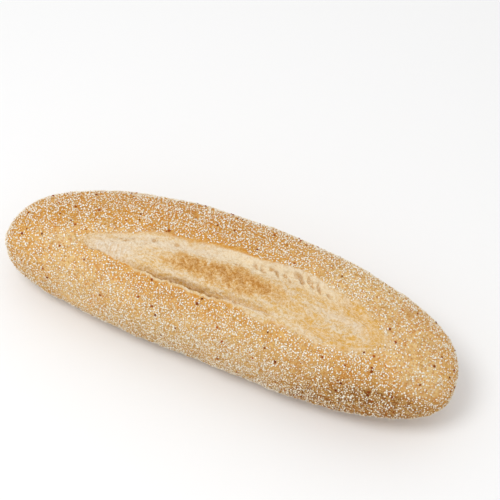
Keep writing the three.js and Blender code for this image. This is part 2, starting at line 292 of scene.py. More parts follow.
# %% Height and lean that the cut gives to the skin
def cut_relief(x, degrees):
    """Height above the uncut skin, lean towards the near side, how far inside and how far across."""
    far, near = edges(x)
    across = (degrees - far) / (near - far)
    on_far_side = across < BLOOM_AT
    curl = along(FAR_CURL, x)
    ear = along(EAR, x) * (1 + ragged(x, *EAR_RAGGED))
    inside = 1 - np.hypot(end_share(x), 2 * across - 1)
    beyond = np.maximum(0, -inside) * (near - far) / 2
    far_fade = np.exp(-((beyond / FAR_CURL_REACH) ** 2))
    near_fade = np.exp(-((beyond / EAR_REACH) ** 2))
    rim = np.where(on_far_side, curl * far_fade, ear * near_fade)
    rim_lean = np.where(on_far_side, 0, -EAR_LEAN * ear * near_fade**2)
    climb = np.where(on_far_side, across / BLOOM_AT, (1 - across) / (1 - BLOOM_AT))
    valley = np.where(on_far_side, along(FAR_VALLEY, x), along(NEAR_VALLEY, x))
    shoulder = np.where(on_far_side, FAR_SHOULDER, NEAR_SHOULDER)
    bottom = mix(valley, along(BLOOM, x), smooth(climb / shoulder, VALLEY_LEVEL, 1))
    near_wall = mix(NEAR_WALL, SOFT_WALL, smooth(x, *NEAR_TURNS_SOFT))
    far_wall = mix(FAR_WALL, SOFT_WALL, smooth(x, *FAR_TURNS_SOFT))
    wall = smooth(inside / np.where(on_far_side, far_wall, near_wall))
    tuck = np.where(on_far_side, 0, ear * EAR_TUCK * smooth(across, *TUCK_ACROSS))
    return mix(rim, bottom, wall), mix(rim_lean, tuck, wall), inside, across


# %% [markdown]
# ## Lumps, wrinkles, tears and pits
#
# The solid carries only the broad forms. Here the crust gets its low lumps and the dented near
# flank, and the opening gets what a knife and steam leave: soft folds, a row of torn pockets below
# the far edge, a few burst bubbles, and fine ribs at the left end, where the dough was drawn out.
# Low on its flanks the crust is craggy, and the loaf's outline shows it. Each of these is a small
# change of height, so they simply add.

# %% Broad unevenness
LUMPS = [(0.35, 84, 2, 0.9), (0.25, 47, 3, 2.3), (0.15, 31, 1, 4.1)]
LUMPS_FROM = (2, 14)  # heights above the floor between which they set in
NEAR_FLANK = [
    (-114, 0), (-94, -1.1), (-78, 0.2), (-68, 0.5), (-48, 0.3), (-33, 0), (-22, -0.8), (-12, -1.8),
    (-5, -2.7), (1, -1.8), (8, -0.9), (20, -1.4), (34, -1), (52, -0.4), (76, 0),
]
FLANK_MIDDLE, FLANK_REACH = 190, 52
CREASE = [(-106, 114), (-99, 114), (-93, 112), (-82, 111)]
CREASE_DEEP, CREASE_REACH, CREASE_ALONG = 0.5, 7, (-108, -98, -86, -80)


def between(value, start, full, fading, end):
    """0 up to start, 1 from full to fading, and 0 again from end on, with soft steps."""
    return smooth(value, start, full) * (1 - smooth(value, fading, end))


def crease_share(x, degrees):
    """1 on the pale crease that runs on from the opening's left tip, 0 away from it."""
    beside = (degrees - along(CREASE, x)) / CREASE_REACH
    return np.exp(-(beside**2)) * between(x, *CREASE_ALONG)


def unevenness(x, degrees, z):
    """Hand-rolled lumps, the near flank's flat corner and waist, and the crease at the left."""
    lumps = sum(
        height * np.sin(2 * np.pi * x / wave + phase) * np.cos(turns * np.radians(degrees) + phase)
        for height, wave, turns, phase in LUMPS
    )
    away = (degrees - FLANK_MIDDLE) / FLANK_REACH
    flank = along(NEAR_FLANK, x) * np.maximum(0, 1 - away * away) ** 2
    broad = (lumps * fullness(2 * x / LENGTH, MEAN_PLAN) + flank) * smooth(z, *LUMPS_FROM)
    return broad - CREASE_DEEP * crease_share(x, degrees)


# %% Torn pockets and burst bubbles
ACROSS_MM = 30  # the opening's width, to turn shares across it into millimetres
# place along x, share across, length, width, turn in degrees, depth
TEARS = [
    (15.2, 0.10, 3.6, 1.5, 35, 0.9), (19.6, 0.14, 4.4, 1.6, 45, 1.1), (24.6, 0.09, 3.6, 1.5, 15, 1.0),
    (27.8, 0.14, 3.8, 1.6, 40, 1.1), (32.4, 0.13, 3.6, 1.9, 25, 1.2), (35.6, 0.18, 3.4, 1.5, 45, 0.9),
    (38.4, 0.06, 4.2, 1.6, 5, 1.2), (41.8, 0.10, 4.6, 2.2, 42, 1.5), (45.8, 0.06, 3.6, 1.8, 20, 1.2),
    (48.4, 0.11, 3.6, 1.6, 40, 0.9), (52.4, 0.10, 5.2, 1.4, 42, 1.1), (58.4, 0.12, 3.2, 1.2, 40, 0.8),
]
# bubbles that burst, mostly near the left end
PITS = [
    (-58.6, 0.17, 3.2, 2.0, -25, 0.7), (-55.0, 0.11, 2.2, 1.8, 0, 0.8), (-47.6, 0.20, 2.4, 2.0, 20, 0.6),
    (-43.6, 0.10, 2.8, 2.2, 0, 0.9), (-30.4, 0.09, 3.4, 2.2, 15, 0.8), (-75.3, 0.95, 3.0, 1.6, 20, 0.9),
    (-71.4, 0.97, 3.2, 1.6, 25, 0.9), (-66.0, 0.30, 2.0, 1.4, 0, 0.6), (97.0, 0.60, 5.0, 1.2, 60, 0.9),
    (5.0, 0.20, 2.2, 1.6, 30, 0.6), (-62.0, 0.12, 2.0, 1.6, 0, 0.6),
]
# curls of crumb inside the ear: a negative depth makes a bump
BUMPS = [(-4.0, 0.90, 2.8, 2.2, 10, -1.3), (0.5, 0.91, 2.6, 2.0, 0, -1.2), (4.5, 0.88, 2.4, 1.8, 0, -0.8)]
SEAM_AT, SEAM_HALF, SEAM_DEEP = 0.90, 0.06, 0.6  # the faint hollow that runs on from the groove
SEAM_ALONG = (-6, 6, 22, 38)
STEEP_SIDE, GENTLE_SIDE = 1.5, 0.8
DENT_DEEP, BORDER_HIGH, BORDER_AT, BORDER_NARROW = 1.15, 0.22, 1.7, 3
print(len(TEARS), "torn pockets,", len(PITS), "burst bubbles and", len(BUMPS), "curls")

# %% Cloudy noise, and dents with ragged borders
# strength, width of one cloud along x, y and z in mm, place in the noise, octaves
DENT_EDGES = (0.6, (1.8, 1.3, 1), 17, 2)
OCTAVES_FADE, OCTAVES_SHRINK = 1.0, 2.1


def noisy(points, strength, size, shift, octaves):
    """Cloudy noise, at most about strength; shift takes it from another place in the same noise."""
    places = ((points + shift) / size).tolist()
    clouds = [noise.fractal(p, OCTAVES_FADE, OCTAVES_SHRINK, octaves) for p in places]
    return strength * np.array(clouds)


def sheet(x, beside):
    """Places on the loaf as if its skin were laid flat."""
    return np.stack([x, beside, np.zeros_like(x)], axis=-1)


def dents(x, across, places):
    """Ragged oval hollows, steeper on their far side, each with a faint raised border."""
    total = np.zeros_like(x)
    uneven = 1 + noisy(sheet(x, across * ACROSS_MM), *DENT_EDGES)
    for at_x, at_across, length, width, turn, depth in places:
        dx, dy = x - at_x, (across - at_across) * ACROSS_MM
        cos, sin = math.cos(math.radians(turn)), math.sin(math.radians(turn))
        ahead, beside = dx * cos + dy * sin, dy * cos - dx * sin
        beside = np.where(beside < 0, beside * STEEP_SIDE, beside * GENTLE_SIDE)
        far = np.hypot(ahead / length, beside / width) * 2 * uneven
        border = BORDER_HIGH * np.exp(-((far - BORDER_AT) ** 2) * BORDER_NARROW)
        total += depth * (border - DENT_DEEP * np.exp(-(far**3)))
    return total


# %% [markdown]
# Torn crumb isn't one texture. It has broad folds, a leathery skin and a fine grain, ribs where it
# was stretched, and ragged places where it came apart. Each is the same cloudy noise at another
# size. The clouds are longer than they are wide, as the dough was rolled, all but the ribs.

# %% Fine relief
# strength in mm, width of one cloud along x, y and z in mm, place in the noise, octaves
FOLDS = (0.34, (17, 7, 1), 40, 3)
LEATHER = (0.45, (5.0, 2.6, 1), 13, 4)
CRUMB_GRAIN = (0.14, (1.5, 1.0, 1), 70, 2)
TORN = (0.5, (2.6, 2.0, 1), 0, 3)
RIB_LINES = (1, (1.15, 9, 1), 5, 3)
CRUST_WAVES = (0.32, (12, 9, 9), 90, 3)
CRUST_GRAIN = (0.12, (3.4, 2.8, 2.8), 0, 3)
CRAGS = (0.6, (4.6, 6, 6), 33, 3)
CRAGS_FADE = (16, 36)  # heights above the floor between which they end
RIBS_HIGH, RIBS_ACROSS, RIBS_ALONG = 0.4, (0.25, 0.5, 0.96, 1), (-80, -72, -62, -46)
FAR_TORN, FAR_TORN_ACROSS, FAR_TORN_ALONG = 0.6, (0.02, 0.08, 0.16, 0.3), (2, 20, 56, 68)
NEAR_TORN_ACROSS, NEAR_TORN_ALONG = (0.78, 0.88), (-58, -40, 14, 40)
CUT_RELIEF_FROM = 0.12  # the inside value from which the opening's relief holds in full


# %% Seam, ribs, wrinkles and torn places
def seam_share(x, across):
    """1 in the faint hollow between the groove and the right part of the near edge."""
    beside = (across - SEAM_AT) / SEAM_HALF
    return np.exp(-(beside**2)) * between(x, *SEAM_ALONG)


def rib_lines(x, across):
    """Noise drawn out across the opening: the stretch marks at its left end."""
    return noisy(sheet(x, across * ACROSS_MM), *RIB_LINES)


def rib_share(x, across):
    """1 where the crumb was drawn out into ribs, 0 away from there."""
    return between(across, *RIBS_ACROSS) * between(x, *RIBS_ALONG)


def fine_relief(points, x, inside, across):
    """Wrinkles, folds and torn places, in millimetres."""
    surface = sheet(x, across * ACROSS_MM)
    far_torn = between(across, *FAR_TORN_ACROSS) * between(x, *FAR_TORN_ALONG)
    near_torn = smooth(across, *NEAR_TORN_ACROSS) * between(x, *NEAR_TORN_ALONG)
    cut = noisy(surface, *FOLDS) + np.abs(noisy(surface, *LEATHER)) + noisy(surface, *CRUMB_GRAIN)
    cut += RIBS_HIGH * rib_lines(x, across) * rib_share(x, across)
    cut += noisy(surface, *TORN) * np.maximum(far_torn * FAR_TORN, near_torn)
    cut += dents(x, across, TEARS + PITS + BUMPS) - SEAM_DEEP * seam_share(x, across)
    crust = noisy(points, *CRUST_WAVES) + noisy(points, *CRUST_GRAIN)
    crust += noisy(points, *CRAGS) * (1 - smooth(points[:, 2], *CRAGS_FADE))
    return mix(crust, cut, smooth(inside, 0, CUT_RELIEF_FROM))


# %% [markdown]
# ## The loaf's mesh
#
# A round ball already has the grid a loaf needs: rings from pole to pole and columns round them.
# So a ball is added and laid down in edit mode with its poles along X. Then each of its points is
# sent to its place: the ring gives x, and the column gives the angle. Columns are spent where they
# show, half of them inside the opening, and one column runs exactly along each of its edges.

# %% A ball laid along X
COLUMNS = 200
RINGS = 488
bpy.ops.object.select_all(action="DESELECT")
bpy.ops.mesh.primitive_uv_sphere_add(segments=COLUMNS, ring_count=RINGS + 1, radius=1)
loaf = bpy.context.object
loaf.name = loaf.data.name = "loaf"
bpy.ops.object.mode_set(mode="EDIT")
bpy.ops.mesh.select_all(action="SELECT")
bpy.ops.transform.rotate(value=math.pi / 2, orient_axis="Y", center_override=(0, 0, 0))
bpy.ops.mesh.normals_make_consistent(inside=False)
bpy.ops.object.mode_set(mode="OBJECT")
print("ball:", len(loaf.data.vertices), "points,", len(loaf.data.polygons), "faces")

# %% [markdown]
# Blender lists the faces of a ball in an order that changes from run to run, and further down the
# grits are thrown by that list. So the faces are sorted first: each starts at its lowest-numbered
# point, and the lowest face comes first. Then every run gives the same loaf, grit for grit.

# %% Put the ball's faces in order
def in_order(mesh):
    """The same mesh with its faces in one fixed order."""
    faces = []
    for face in mesh.polygons:
        points = list(face.vertices)
        first = points.index(min(points))
        faces.append(points[first:] + points[:first])
    ordered = bpy.data.meshes.new(mesh.name)
    ordered.from_pydata([v.co for v in mesh.vertices], [], sorted(faces))
    return ordered


loaf.data = in_order(loaf.data)
loaf.data.name = "loaf"
ball = np.empty(len(loaf.data.vertices) * 3)
loaf.data.vertices.foreach_get("co", ball)
ball = ball.reshape(-1, 3)
print("ordered:", len(ball), "points,", len(loaf.data.polygons), "faces")

# %% [markdown]
# Rings lie evenly along the middle of the loaf and draw together at its ends, where the surface
# turns quickly. The columns in the opening draw together at its edges for the same reason.

# %% Rings and columns to places on the loaf
END_RINGS = 56
END_FROM = (-100, 105)
FAR_COLUMNS, CUT_COLUMNS = 54, 100
NARROWEST = 0.4  # the share of its width that the cut's columns keep past its tips
CROWD_AT_EDGES = 0.4  # how far the columns in the opening draw together at its edges
EVEN_ROUND = 0.35  # how evenly the others are spread, down to the line under the loaf


def ring_place(ring):
    """x of a ring, counted from 0 at the left pole: even in the middle, closing up at the ends."""
    last = RINGS + 1
    left = mix(END_FROM[0], -LENGTH / 2, np.sin(np.pi / 2 * (1 - ring / END_RINGS)))
    right = mix(END_FROM[1], LENGTH / 2, np.sin(np.pi / 2 * (1 - (last - ring) / END_RINGS)))
    middle = mix(*END_FROM, (ring - END_RINGS) / (last - 2 * END_RINGS))
    return np.where(ring < END_RINGS, left, np.where(ring > last - END_RINGS, right, middle))


def column_angle(x, column):
    """Degrees round the loaf of a column, counted from the line under it, over the far side."""
    far, near = edges(x)
    closed = np.sqrt(np.maximum(0, 1 - end_share(x) ** 2))
    middle, half = (far + near) / 2, np.maximum(NARROWEST, closed) * (near - far) / 2
    edge, lip = middle - half, middle + half
    back = 1 - column / FAR_COLUMNS
    front = (column - FAR_COLUMNS - CUT_COLUMNS) / (COLUMNS - FAR_COLUMNS - CUT_COLUMNS)
    share = np.clip((column - FAR_COLUMNS) / CUT_COLUMNS, 0, 1)
    share = mix(share, (1 - np.cos(np.pi * share)) / 2, CROWD_AT_EDGES)
    on_back = edge - (edge + 90) * mix(back**2, back, EVEN_ROUND)
    on_front = lip + (270 - lip) * mix(front**2, front, EVEN_ROUND)
    inside = mix(edge, lip, share)
    return np.where(back > 0, on_back, np.where(front > 0, on_front, inside))


ring = np.round(np.arccos(np.clip(-ball[:, 0], -1, 1)) / np.pi * (RINGS + 1))
turn = np.degrees(np.arctan2(ball[:, 2], ball[:, 1]))
column = np.round((turn + 90) % 360 / 360 * COLUMNS) % COLUMNS
ring_x = ring_place(ring)
angle = column_angle(ring_x, column)
print("rings", ring.min(), "to", ring.max(), "| columns", column.min(), "to", column.max())


# %% [markdown]
# Now the forms are added up: each point of the plain dough moves out by its height and sideways by
# its lean. The two poles are set to the tips, because no direction can be measured there.

# %% Shape the loaf
RELIEF_FROM = (0.3, 4)  # heights above the floor between which the fine relief sets in


def skin(x, degrees):
    """The baked loaf's surface in millimetres, with its inside and across values."""
    points = dough(x, degrees)
    out, around = directions(x, degrees)
    height, lean, inside, across = cut_relief(x, degrees)
    height += unevenness(x, degrees, points[:, 2])
    height += fine_relief(points, x, inside, across) * smooth(points[:, 2], *RELIEF_FROM)
    shaped = points + out * height[:, None] + around * lean[:, None]
    shaped[:, 2] = np.maximum(shaped[:, 2], 0)
    return shaped, inside, across


skin_mm, inside, across = skin(ring_x, angle)
poles = (ring == 0) | (ring == RINGS + 1)
ridge_y = dough(ring_x, np.full_like(ring_x, 90.0))[:, 1]
tip = np.stack([ring_x, ridge_y, np.full_like(ring_x, WIDEST_AT)], axis=-1)
skin_mm[poles] = tip[poles]
loaf.data.vertices.foreach_set("co", (skin_mm * MM).ravel())
loaf.data.update()
print("loaf, mm:", skin_mm.min(0).round(1), skin_mm.max(0).round(1))

# %% [markdown]
# ## Marks for the oven's colour
#
# Where the bread browned doesn't follow any plain pattern in space: it follows the opening, its
# edges and its high places. So each point of the loaf is marked with a few values between 0 and 1,
# kept as attributes on the mesh, and the materials read them as masks. Most are soft oval spots.
# Two are patterns that run with the dough: pale and golden wisps along the opening, from noise
# drawn out lengthwise and bent by other noise, and short slanted strokes inside the toasted spots.

# %% Where the crumb is toasted, golden and pale
# place along x, share across, reach along x, reach across, strength
TOASTED_SPOTS = [
    (-21, 0.42, 7, 0.14, 1.1), (-14, 0.46, 4, 0.13, 0.85), (-4, 0.48, 6, 0.17, 1.1),
    (3, 0.50, 6, 0.18, 1.0), (11, 0.53, 8, 0.17, 1.05), (19, 0.55, 7, 0.14, 1.2),
    (25, 0.58, 6, 0.10, 0.8), (-28, 0.48, 9, 0.16, 0.4), (31, 0.50, 10, 0.16, 0.3),
    (2, 0.49, 28, 0.27, 0.35),
]
GOLDEN_SPOTS = [
    (62, 0.5, 46, 0.7, 0.22), (42, 0.26, 11, 0.08, 0.8), (54, 0.21, 10, 0.09, 0.9),
    (65, 0.17, 9, 0.09, 1.0), (75, 0.12, 8, 0.12, 1.2), (84, 0.20, 7, 0.18, 1.2),
    (72, 0.84, 14, 0.12, 1.2), (58, 0.78, 10, 0.10, 1.0), (28, 0.60, 12, 0.16, 0.5),
    (90, 0.40, 5, 0.3, 0.8), (22, 0.44, 10, 0.14, 0.3), (49, 0.58, 13, 0.13, 0.6),
    (-67, 0.14, 5, 0.08, 0.4), (-38, 0.50, 16, 0.26, 0.4), (88, 0.60, 8, 0.25, 0.6),
    (80, 0.66, 7, 0.1, 0.4), (81, 0.12, 9, 0.08, 1.0), (-84, 0.5, 4, 0.7, 0.8),
]
PALE_SPOTS = [
    (-70, 0.55, 16, 0.6, 0.9), (-52, 0.35, 20, 0.4, 0.6), (-24, 0.14, 24, 0.15, 0.9),
    # painted light on the far wall below the edge, which lies in shade
    (4, 0.11, 16, 0.12, 1.0), (28, 0.12, 16, 0.15, 1.2), (48, 0.10, 14, 0.11, 1.2),
    (52, 0.90, 12, 0.08, 0.8), (62, 0.40, 10, 0.09, 0.9), (74, 0.36, 9, 0.10, 1.0),
    (83, 0.42, 6, 0.16, 1.0), (16, 0.97, 16, 0.08, 0.8), (-20, 0.76, 14, 0.1, 0.5),
    (-9, 0.42, 1.0, 0.16, 0.8),
]
print(len(TOASTED_SPOTS), "toasted spots,", len(GOLDEN_SPOTS), "golden and", len(PALE_SPOTS), "pale")

# %% Where the crust is browned, fair, tan and amber; browned is partly painted shade, fair partly painted light
# place along x, degrees round, reach along x, reach in degrees, strength
CRUST_SPOTS = {
    # browned: the oven's browning, and painted shade along the foot of the near flank and at the right
    # bottom
    "browned_and_shaded": [
        (86, 174, 32, 26, 1.1), (62, 200, 38, 24, 1.0), (104, 172, 18, 22, 1.0), (-20, 62, 60, 20, 0.12),
        (92, 196, 36, 22, 1.1), (-98, 78, 18, 16, 0.2), (10, 215, 90, 20, 0.4), (104, 62, 10, 10, 0.2),
        (-40, 190, 12, 9, 0.3), (112, 132, 5, 7, 0.2), (-14, 198, 14, 10, 0.2), (118, 84, 6, 10, 0.15),
    ],
    # fair: the crust's own fairer colour on the left and the near side, and painted light on the far right
    # and round the right end, which face away from the lamp
    "fair_and_lit": [
        (-96, 140, 26, 34, 0.8), (-72, 150, 26, 28, 0.9), (-84, 185, 24, 22, 0.8), (-30, 150, 40, 20, 0.6),
        (20, 150, 40, 20, 0.5), (66, 72, 36, 18, 1.1), (100, 100, 20, 28, 1.0), (114, 108, 18, 34, 0.9),
        (-98, 112, 16, 12, 1.1), (56, 34, 34, 14, 0.7), (60, 140, 24, 12, 0.3), (124, 30, 12, 30, 0.5),
        (-64, 96, 30, 7, 1.0), (84, 54, 34, 26, 1.2), (122, 140, 14, 30, 1.0), (124, 70, 12, 30, 0.4),
    ],
    "tan": [
        (6, 174, 62, 36, 1.1), (50, 152, 34, 20, 1.0), (-50, 192, 46, 26, 0.8), (-96, 176, 22, 28, 0.6),
        (-34, 156, 34, 14, 0.4),
    ],
    "amber": [
        (-26, 66, 62, 24, 0.5), (-34, 42, 62, 22, 0.3), (-100, 60, 24, 24, 0.35), (88, 172, 38, 30, 0.7),
        (-30, 134, 50, 8, 0.35), (-110, 96, 16, 20, 0.25), (6, 178, 22, 16, 0.25), (108, 66, 16, 18, 0.3),
        (-42, 194, 7, 6, 0.7), (-66, 176, 5, 5, 0.5), (14, 158, 5, 4, 0.5), (-8, 186, 6, 5, 0.5),
        (36, 172, 5, 4, 0.4),
    ],
}
print("spots on the crust:", {name: len(places) for name, places in CRUST_SPOTS.items()})

# %% Soft oval spots
SPOT_EDGE, SPOT_MOST = 1.2, 1.2  # how fast a spot fades, and the most that spots add up to


def spots(x, other, places):
    """The sum of soft oval spots, at most SPOT_MOST."""
    total = np.zeros_like(x)
    for at_x, at_other, reach_x, reach_other, strength in places:
        away = np.hypot((x - at_x) / reach_x, (other - at_other) / reach_other)
        total += strength * np.exp(-(away**2) * SPOT_EDGE)
    return np.clip(total, 0, SPOT_MOST)


# %% [markdown]
# The border between crust and crumb isn't the same all round. Along the ear it is sharp, because
# the crust cracked there. At the tips and towards the right it is soft, and the two run into each
# other. In places the cream even runs a little over the edge.

# %% Edges: where they are golden, where they are soft, and how far the cream runs over them
# (x in mm, share) along each edge
GOLDEN_FAR = [(-84, 0.1), (-60, 0.6), (-30, 0.9), (0, 1), (20, 0.7), (34, 0.2), (60, 0), (96, 0)]
GOLDEN_NEAR = [(-84, 0.3), (-66, 0.9), (-40, 1), (0, 1), (12, 0.6), (24, 0.1), (96, 0)]
SOFT_FAR = [(-84, 1), (-60, 1), (-40, 0.8), (-18, 0.3), (6, 0.05), (50, 0.2), (70, 0.5), (90, 1)]
SOFT_NEAR = [(-84, 1), (-74, 0.5), (-64, 0), (6, 0), (20, 0.5), (36, 1), (96, 1)]
CREAM_BEYOND_FAR = [(-84, 0.14), (-60, 0.14), (-36, 0.08), (-14, 0), (30, 0.02), (96, 0.06)]
CREAM_BEYOND_NEAR = [
    (-84, 0), (-60, 0.04), (-46, 0.10), (-30, 0.09), (-8, 0.11), (6, 0.08), (16, 0.14), (25, 0.34),
    (34, 0.16), (44, 0.06), (96, 0),
]
far_half = across < 0.5


def by_edge(far_line, near_line):
    """For each point of the loaf, the value of the line along the nearer edge."""
    return np.where(far_half, along(far_line, ring_x), along(near_line, ring_x))


# %% How far the crumb shows
# strength, width of one cloud along x, y and z in mm, place in the noise, octaves
WANDER = (0.10, (9, 5, 1), 21, 3)
FRAYED = (0.05, (2.2, 1.6, 1), 33, 2)
# from and to which inside value the crust gives way, on a sharp edge and on a soft one
SHARP_EDGE, SOFT_EDGE = (-0.02, 0.05), (-0.22, 0.18)

surface = sheet(ring_x, across * ACROSS_MM)
wander, frayed = noisy(surface, *WANDER), noisy(surface, *FRAYED)
soft = by_edge(SOFT_FAR, SOFT_NEAR)
reach = inside + by_edge(CREAM_BEYOND_FAR, CREAM_BEYOND_NEAR) + (wander + frayed) * soft
crust_ends, crumb_starts = [mix(sharp, gentle, soft) for sharp, gentle in zip(SHARP_EDGE, SOFT_EDGE)]
opened = smooth(reach, crust_ends, crumb_starts)
print("points on crumb:", int((opened > 0.5).sum()), "of", len(opened))

# %% [markdown]
# Torn pockets get painted shade, a tan that deepens with their depth, so their depths become a mark.
# Torn strands by the ear join it, and the groove behind the ear and the seam after it get painted
# shade as well. Wisps and strokes are noise that is read at bent places: larger noise first moves
# the place of each point, and the pattern then swirls as dough does when it is rolled.

# %% Hollows, wisps, strokes and the groove, with painted shade in hollows and groove
# strength, width of one cloud along x, y and z in mm, place in the noise, octaves
STRANDS = (1, (2.2, 1.0, 1), 60, 3)
DRIFT = (4.5, (10, 7, 1), 55, 3)
BENDING = (2.8, (9, 6, 1), 155, 3)
WISPS = (0.5, (6, 1.3, 1), 0, 4)
STROKES = (1, (2.1, 5, 1), 91, 3)
FAR_HALF_AWAY = 40.0  # the far half takes its wisps from this far off in the noise
STROKE_DRIFT, STROKE_SLANT = 0.4, 14
# torn strands by the ear, which join the hollows' painted shade
STRANDS_RISE, STRANDS_DARK = (-0.1, 0.4), 0.7
STRANDS_ACROSS, STRANDS_ALONG = (0.80, 0.86), (-10, -4, 10, 20)
# painted shade in the groove behind the ear, and in the seam that runs on from it
GROOVE_ACROSS, GROOVE_ENDS_ACROSS, GROOVE_ALONG = (0.72, 0.86), (0.97, 1.0), (-60, -38, -10, 4)
SEAM_SHADE = 0.5
# how much of the wander loosens each mark: shares across, then millimetres, then degrees
TOAST_STRAYS, CRUMB_STRAYS, GROOVE_STRAYS, WALL_STRAYS = 0.6, 0.5, 0.3, 0.2
RIBS_STRAY, CREASE_STRAYS = 40, 30


def loosened(strays):
    """The share across the opening, led astray by the wander."""
    return across + wander * strays


strands = smooth(noisy(surface, *STRANDS), *STRANDS_RISE) * STRANDS_DARK
strands *= smooth(across, *STRANDS_ACROSS) * between(ring_x, *STRANDS_ALONG)
hollows = np.maximum(-dents(ring_x, across, TEARS + PITS), strands)
drift, bend = noisy(surface, *DRIFT), noisy(surface, *BENDING)
flow = np.stack([ring_x + drift, inside * ACROSS_MM / 2 + bend, far_half * FAR_HALF_AWAY], axis=-1)
slanted = sheet(ring_x + drift * STROKE_DRIFT - across * STROKE_SLANT, across * ACROSS_MM + bend)
groove = smooth(loosened(GROOVE_STRAYS), *GROOVE_ACROSS) * (1 - smooth(across, *GROOVE_ENDS_ACROSS))
seam_shade = SEAM_SHADE * seam_share(ring_x, loosened(WALL_STRAYS))
groove = np.maximum(groove * between(ring_x, *GROOVE_ALONG), seam_shade)
print("deepest hollow, mm:", round(float(hollows.max()), 2))

# %% Attributes on the loaf
WALL_ACROSS, WALL_ALONG = (0.0, 0.06, 0.16, 0.30), (-16, 8, 58, 74)  # painted light: the low far wall is painted paler against the shade that falls on it
HOLLOW_SHADE_DEPTHS = (0.2, 0.62)  # depths in mm between which a hollow gets painted shade
RIM_RISE = (-0.28, -0.05)  # inside values between which the rim turns golden
# underneath is the baked foot; low is painted shade, the crust greyer and darker towards the floor
UNDERNEATH, LOW_SHADE = (0.5, 7), (5, 36)  # heights above the floor between which these marks end

height_mm = skin_mm[:, 2]
toasted = spots(ring_x, loosened(TOAST_STRAYS), TOASTED_SPOTS) * (1 + noisy(slanted, *STROKES))
marks = {
    "opened": opened,
    "toasted": toasted * opened,
    "golden": spots(ring_x, loosened(CRUMB_STRAYS), GOLDEN_SPOTS) * opened,
    "pale": spots(ring_x, loosened(CRUMB_STRAYS), PALE_SPOTS) * opened,
    "hollow": smooth(hollows, *HOLLOW_SHADE_DEPTHS),
    "wisps": 0.5 + noisy(flow, *WISPS),
    "wall": between(loosened(WALL_STRAYS), *WALL_ACROSS) * between(ring_x, *WALL_ALONG),
    "ribs": 0.5 + rib_lines(ring_x, across) * rib_share(ring_x, across),
    "drawn": rib_share(ring_x + wander * RIBS_STRAY, loosened(CRUMB_STRAYS)) * opened,
    "groove": groove * opened,
    "crease": crease_share(ring_x, angle + wander * CREASE_STRAYS),
    "rim": smooth(inside + frayed, *RIM_RISE) * (1 - opened) * by_edge(GOLDEN_FAR, GOLDEN_NEAR),
    "underneath": 1 - smooth(height_mm, *UNDERNEATH),
    # painted shade low on the flanks
    "low": 1 - smooth(height_mm, *LOW_SHADE),
}
for name, places in CRUST_SPOTS.items():
    marks[name] = spots(ring_x, angle, places)
for name, values in marks.items():
    attribute = loaf.data.attributes.new(name, "FLOAT", "POINT")
    attribute.data.foreach_set("value", values.astype(np.float32))
print("attributes:", list(marks))

# %% [markdown]
# ## Materials
#
# Bread is matt and uneven at every scale. One shader node group makes that unevenness, from three
# clouds of noise of different size, and each material places it with its own values: the crust to
# mottle its gold, the opening to cloud its cream, and the grits to keep them from looking cast.
# Colours are built up in layers, as a glaze is: each layer has a share of its own, mostly a mark.

# %% Node helpers
def srgb(red, green, blue):
    """A colour as a screen shows it, 0 to 255, turned into the linear colour a shader takes."""
    return (*[((v / 255 + 0.055) / 1.055) ** 2.4 for v in (red, green, blue)], 1.0)


def place(tree, kind, inputs=(), **settings):
    """Adds a node. inputs holds (socket, value or other node's output) pairs."""
    node = tree.nodes.new(kind)
    for name, value in settings.items():
        setattr(node, name, value)
    for socket, value in inputs:
        if isinstance(value, bpy.types.NodeSocket):
            tree.links.new(value, node.inputs[socket])
        else:
            node.inputs[socket].default_value = value
    return node


def blend_colours(tree, share, first, second):
    """A Mix node for colours; gives its output."""
    inputs = [(0, share), (6, first), (7, second)]
    return place(tree, "ShaderNodeMix", inputs, data_type="RGBA").outputs[2]


def layered(tree, colour, layers):
    """Lays (share, colour) pairs over a colour, one on top of another."""
    for share, over in layers:
        colour = blend_colours(tree, share, colour, over)
    return colour


# %% Steps, sums, noise and marks in the shader
def rise(tree, value, low, high, top=1.0):
    """A soft step: 0 below low, top above high."""
    steps = [(0, value), (1, low), (2, high), (3, 0.0), (4, top)]
    return place(tree, "ShaderNodeMapRange", steps, interpolation_type="SMOOTHSTEP").outputs[0]


def times(tree, first, second, plus=0.0):
    """first × second + plus."""
    inputs = [(0, first), (1, second), (2, plus)]
    return place(tree, "ShaderNodeMath", inputs, operation="MULTIPLY_ADD").outputs[0]


def cloud(tree, where, size_mm, detail, roughness, distortion):
    """Noise whose clouds are size_mm wide."""
    inputs = [
        ("Vector", where), ("Scale", 1 / (size_mm * MM)), ("Detail", detail), ("Roughness", roughness),
        ("Distortion", distortion),
    ]
    return place(tree, "ShaderNodeTexNoise", inputs).outputs[0]


def mask(tree, name):
    """One of the marks on a mesh, as a value for the shader."""
    return place(tree, "ShaderNodeAttribute", attribute_name=name, attribute_type="GEOMETRY").outputs["Fac"]


# %% Start a group, and place one
def start_group(name, shares):
    """A group for a colour's unevenness: three colours, a position and shares in, two values out."""
    group = bpy.data.node_groups.new(name, "ShaderNodeTree")
    sockets = [
        ("Colour", "NodeSocketColor", (1, 1, 1, 1)), ("Dark", "NodeSocketColor", (0, 0, 0, 1)),
        ("Light", "NodeSocketColor", (1, 1, 1, 1)), ("Position", "NodeSocketVector", (0, 0, 0)),
    ]
    for socket, kind, value in sockets + [(share, "NodeSocketFloat", 0.5) for share in shares]:
        group.interface.new_socket(socket, in_out="INPUT", socket_type=kind).default_value = value
    group.interface.new_socket("Colour", in_out="OUTPUT", socket_type="NodeSocketColor")
    group.interface.new_socket("Height", in_out="OUTPUT", socket_type="NodeSocketFloat")
    return group, group.nodes.new("NodeGroupInput").outputs


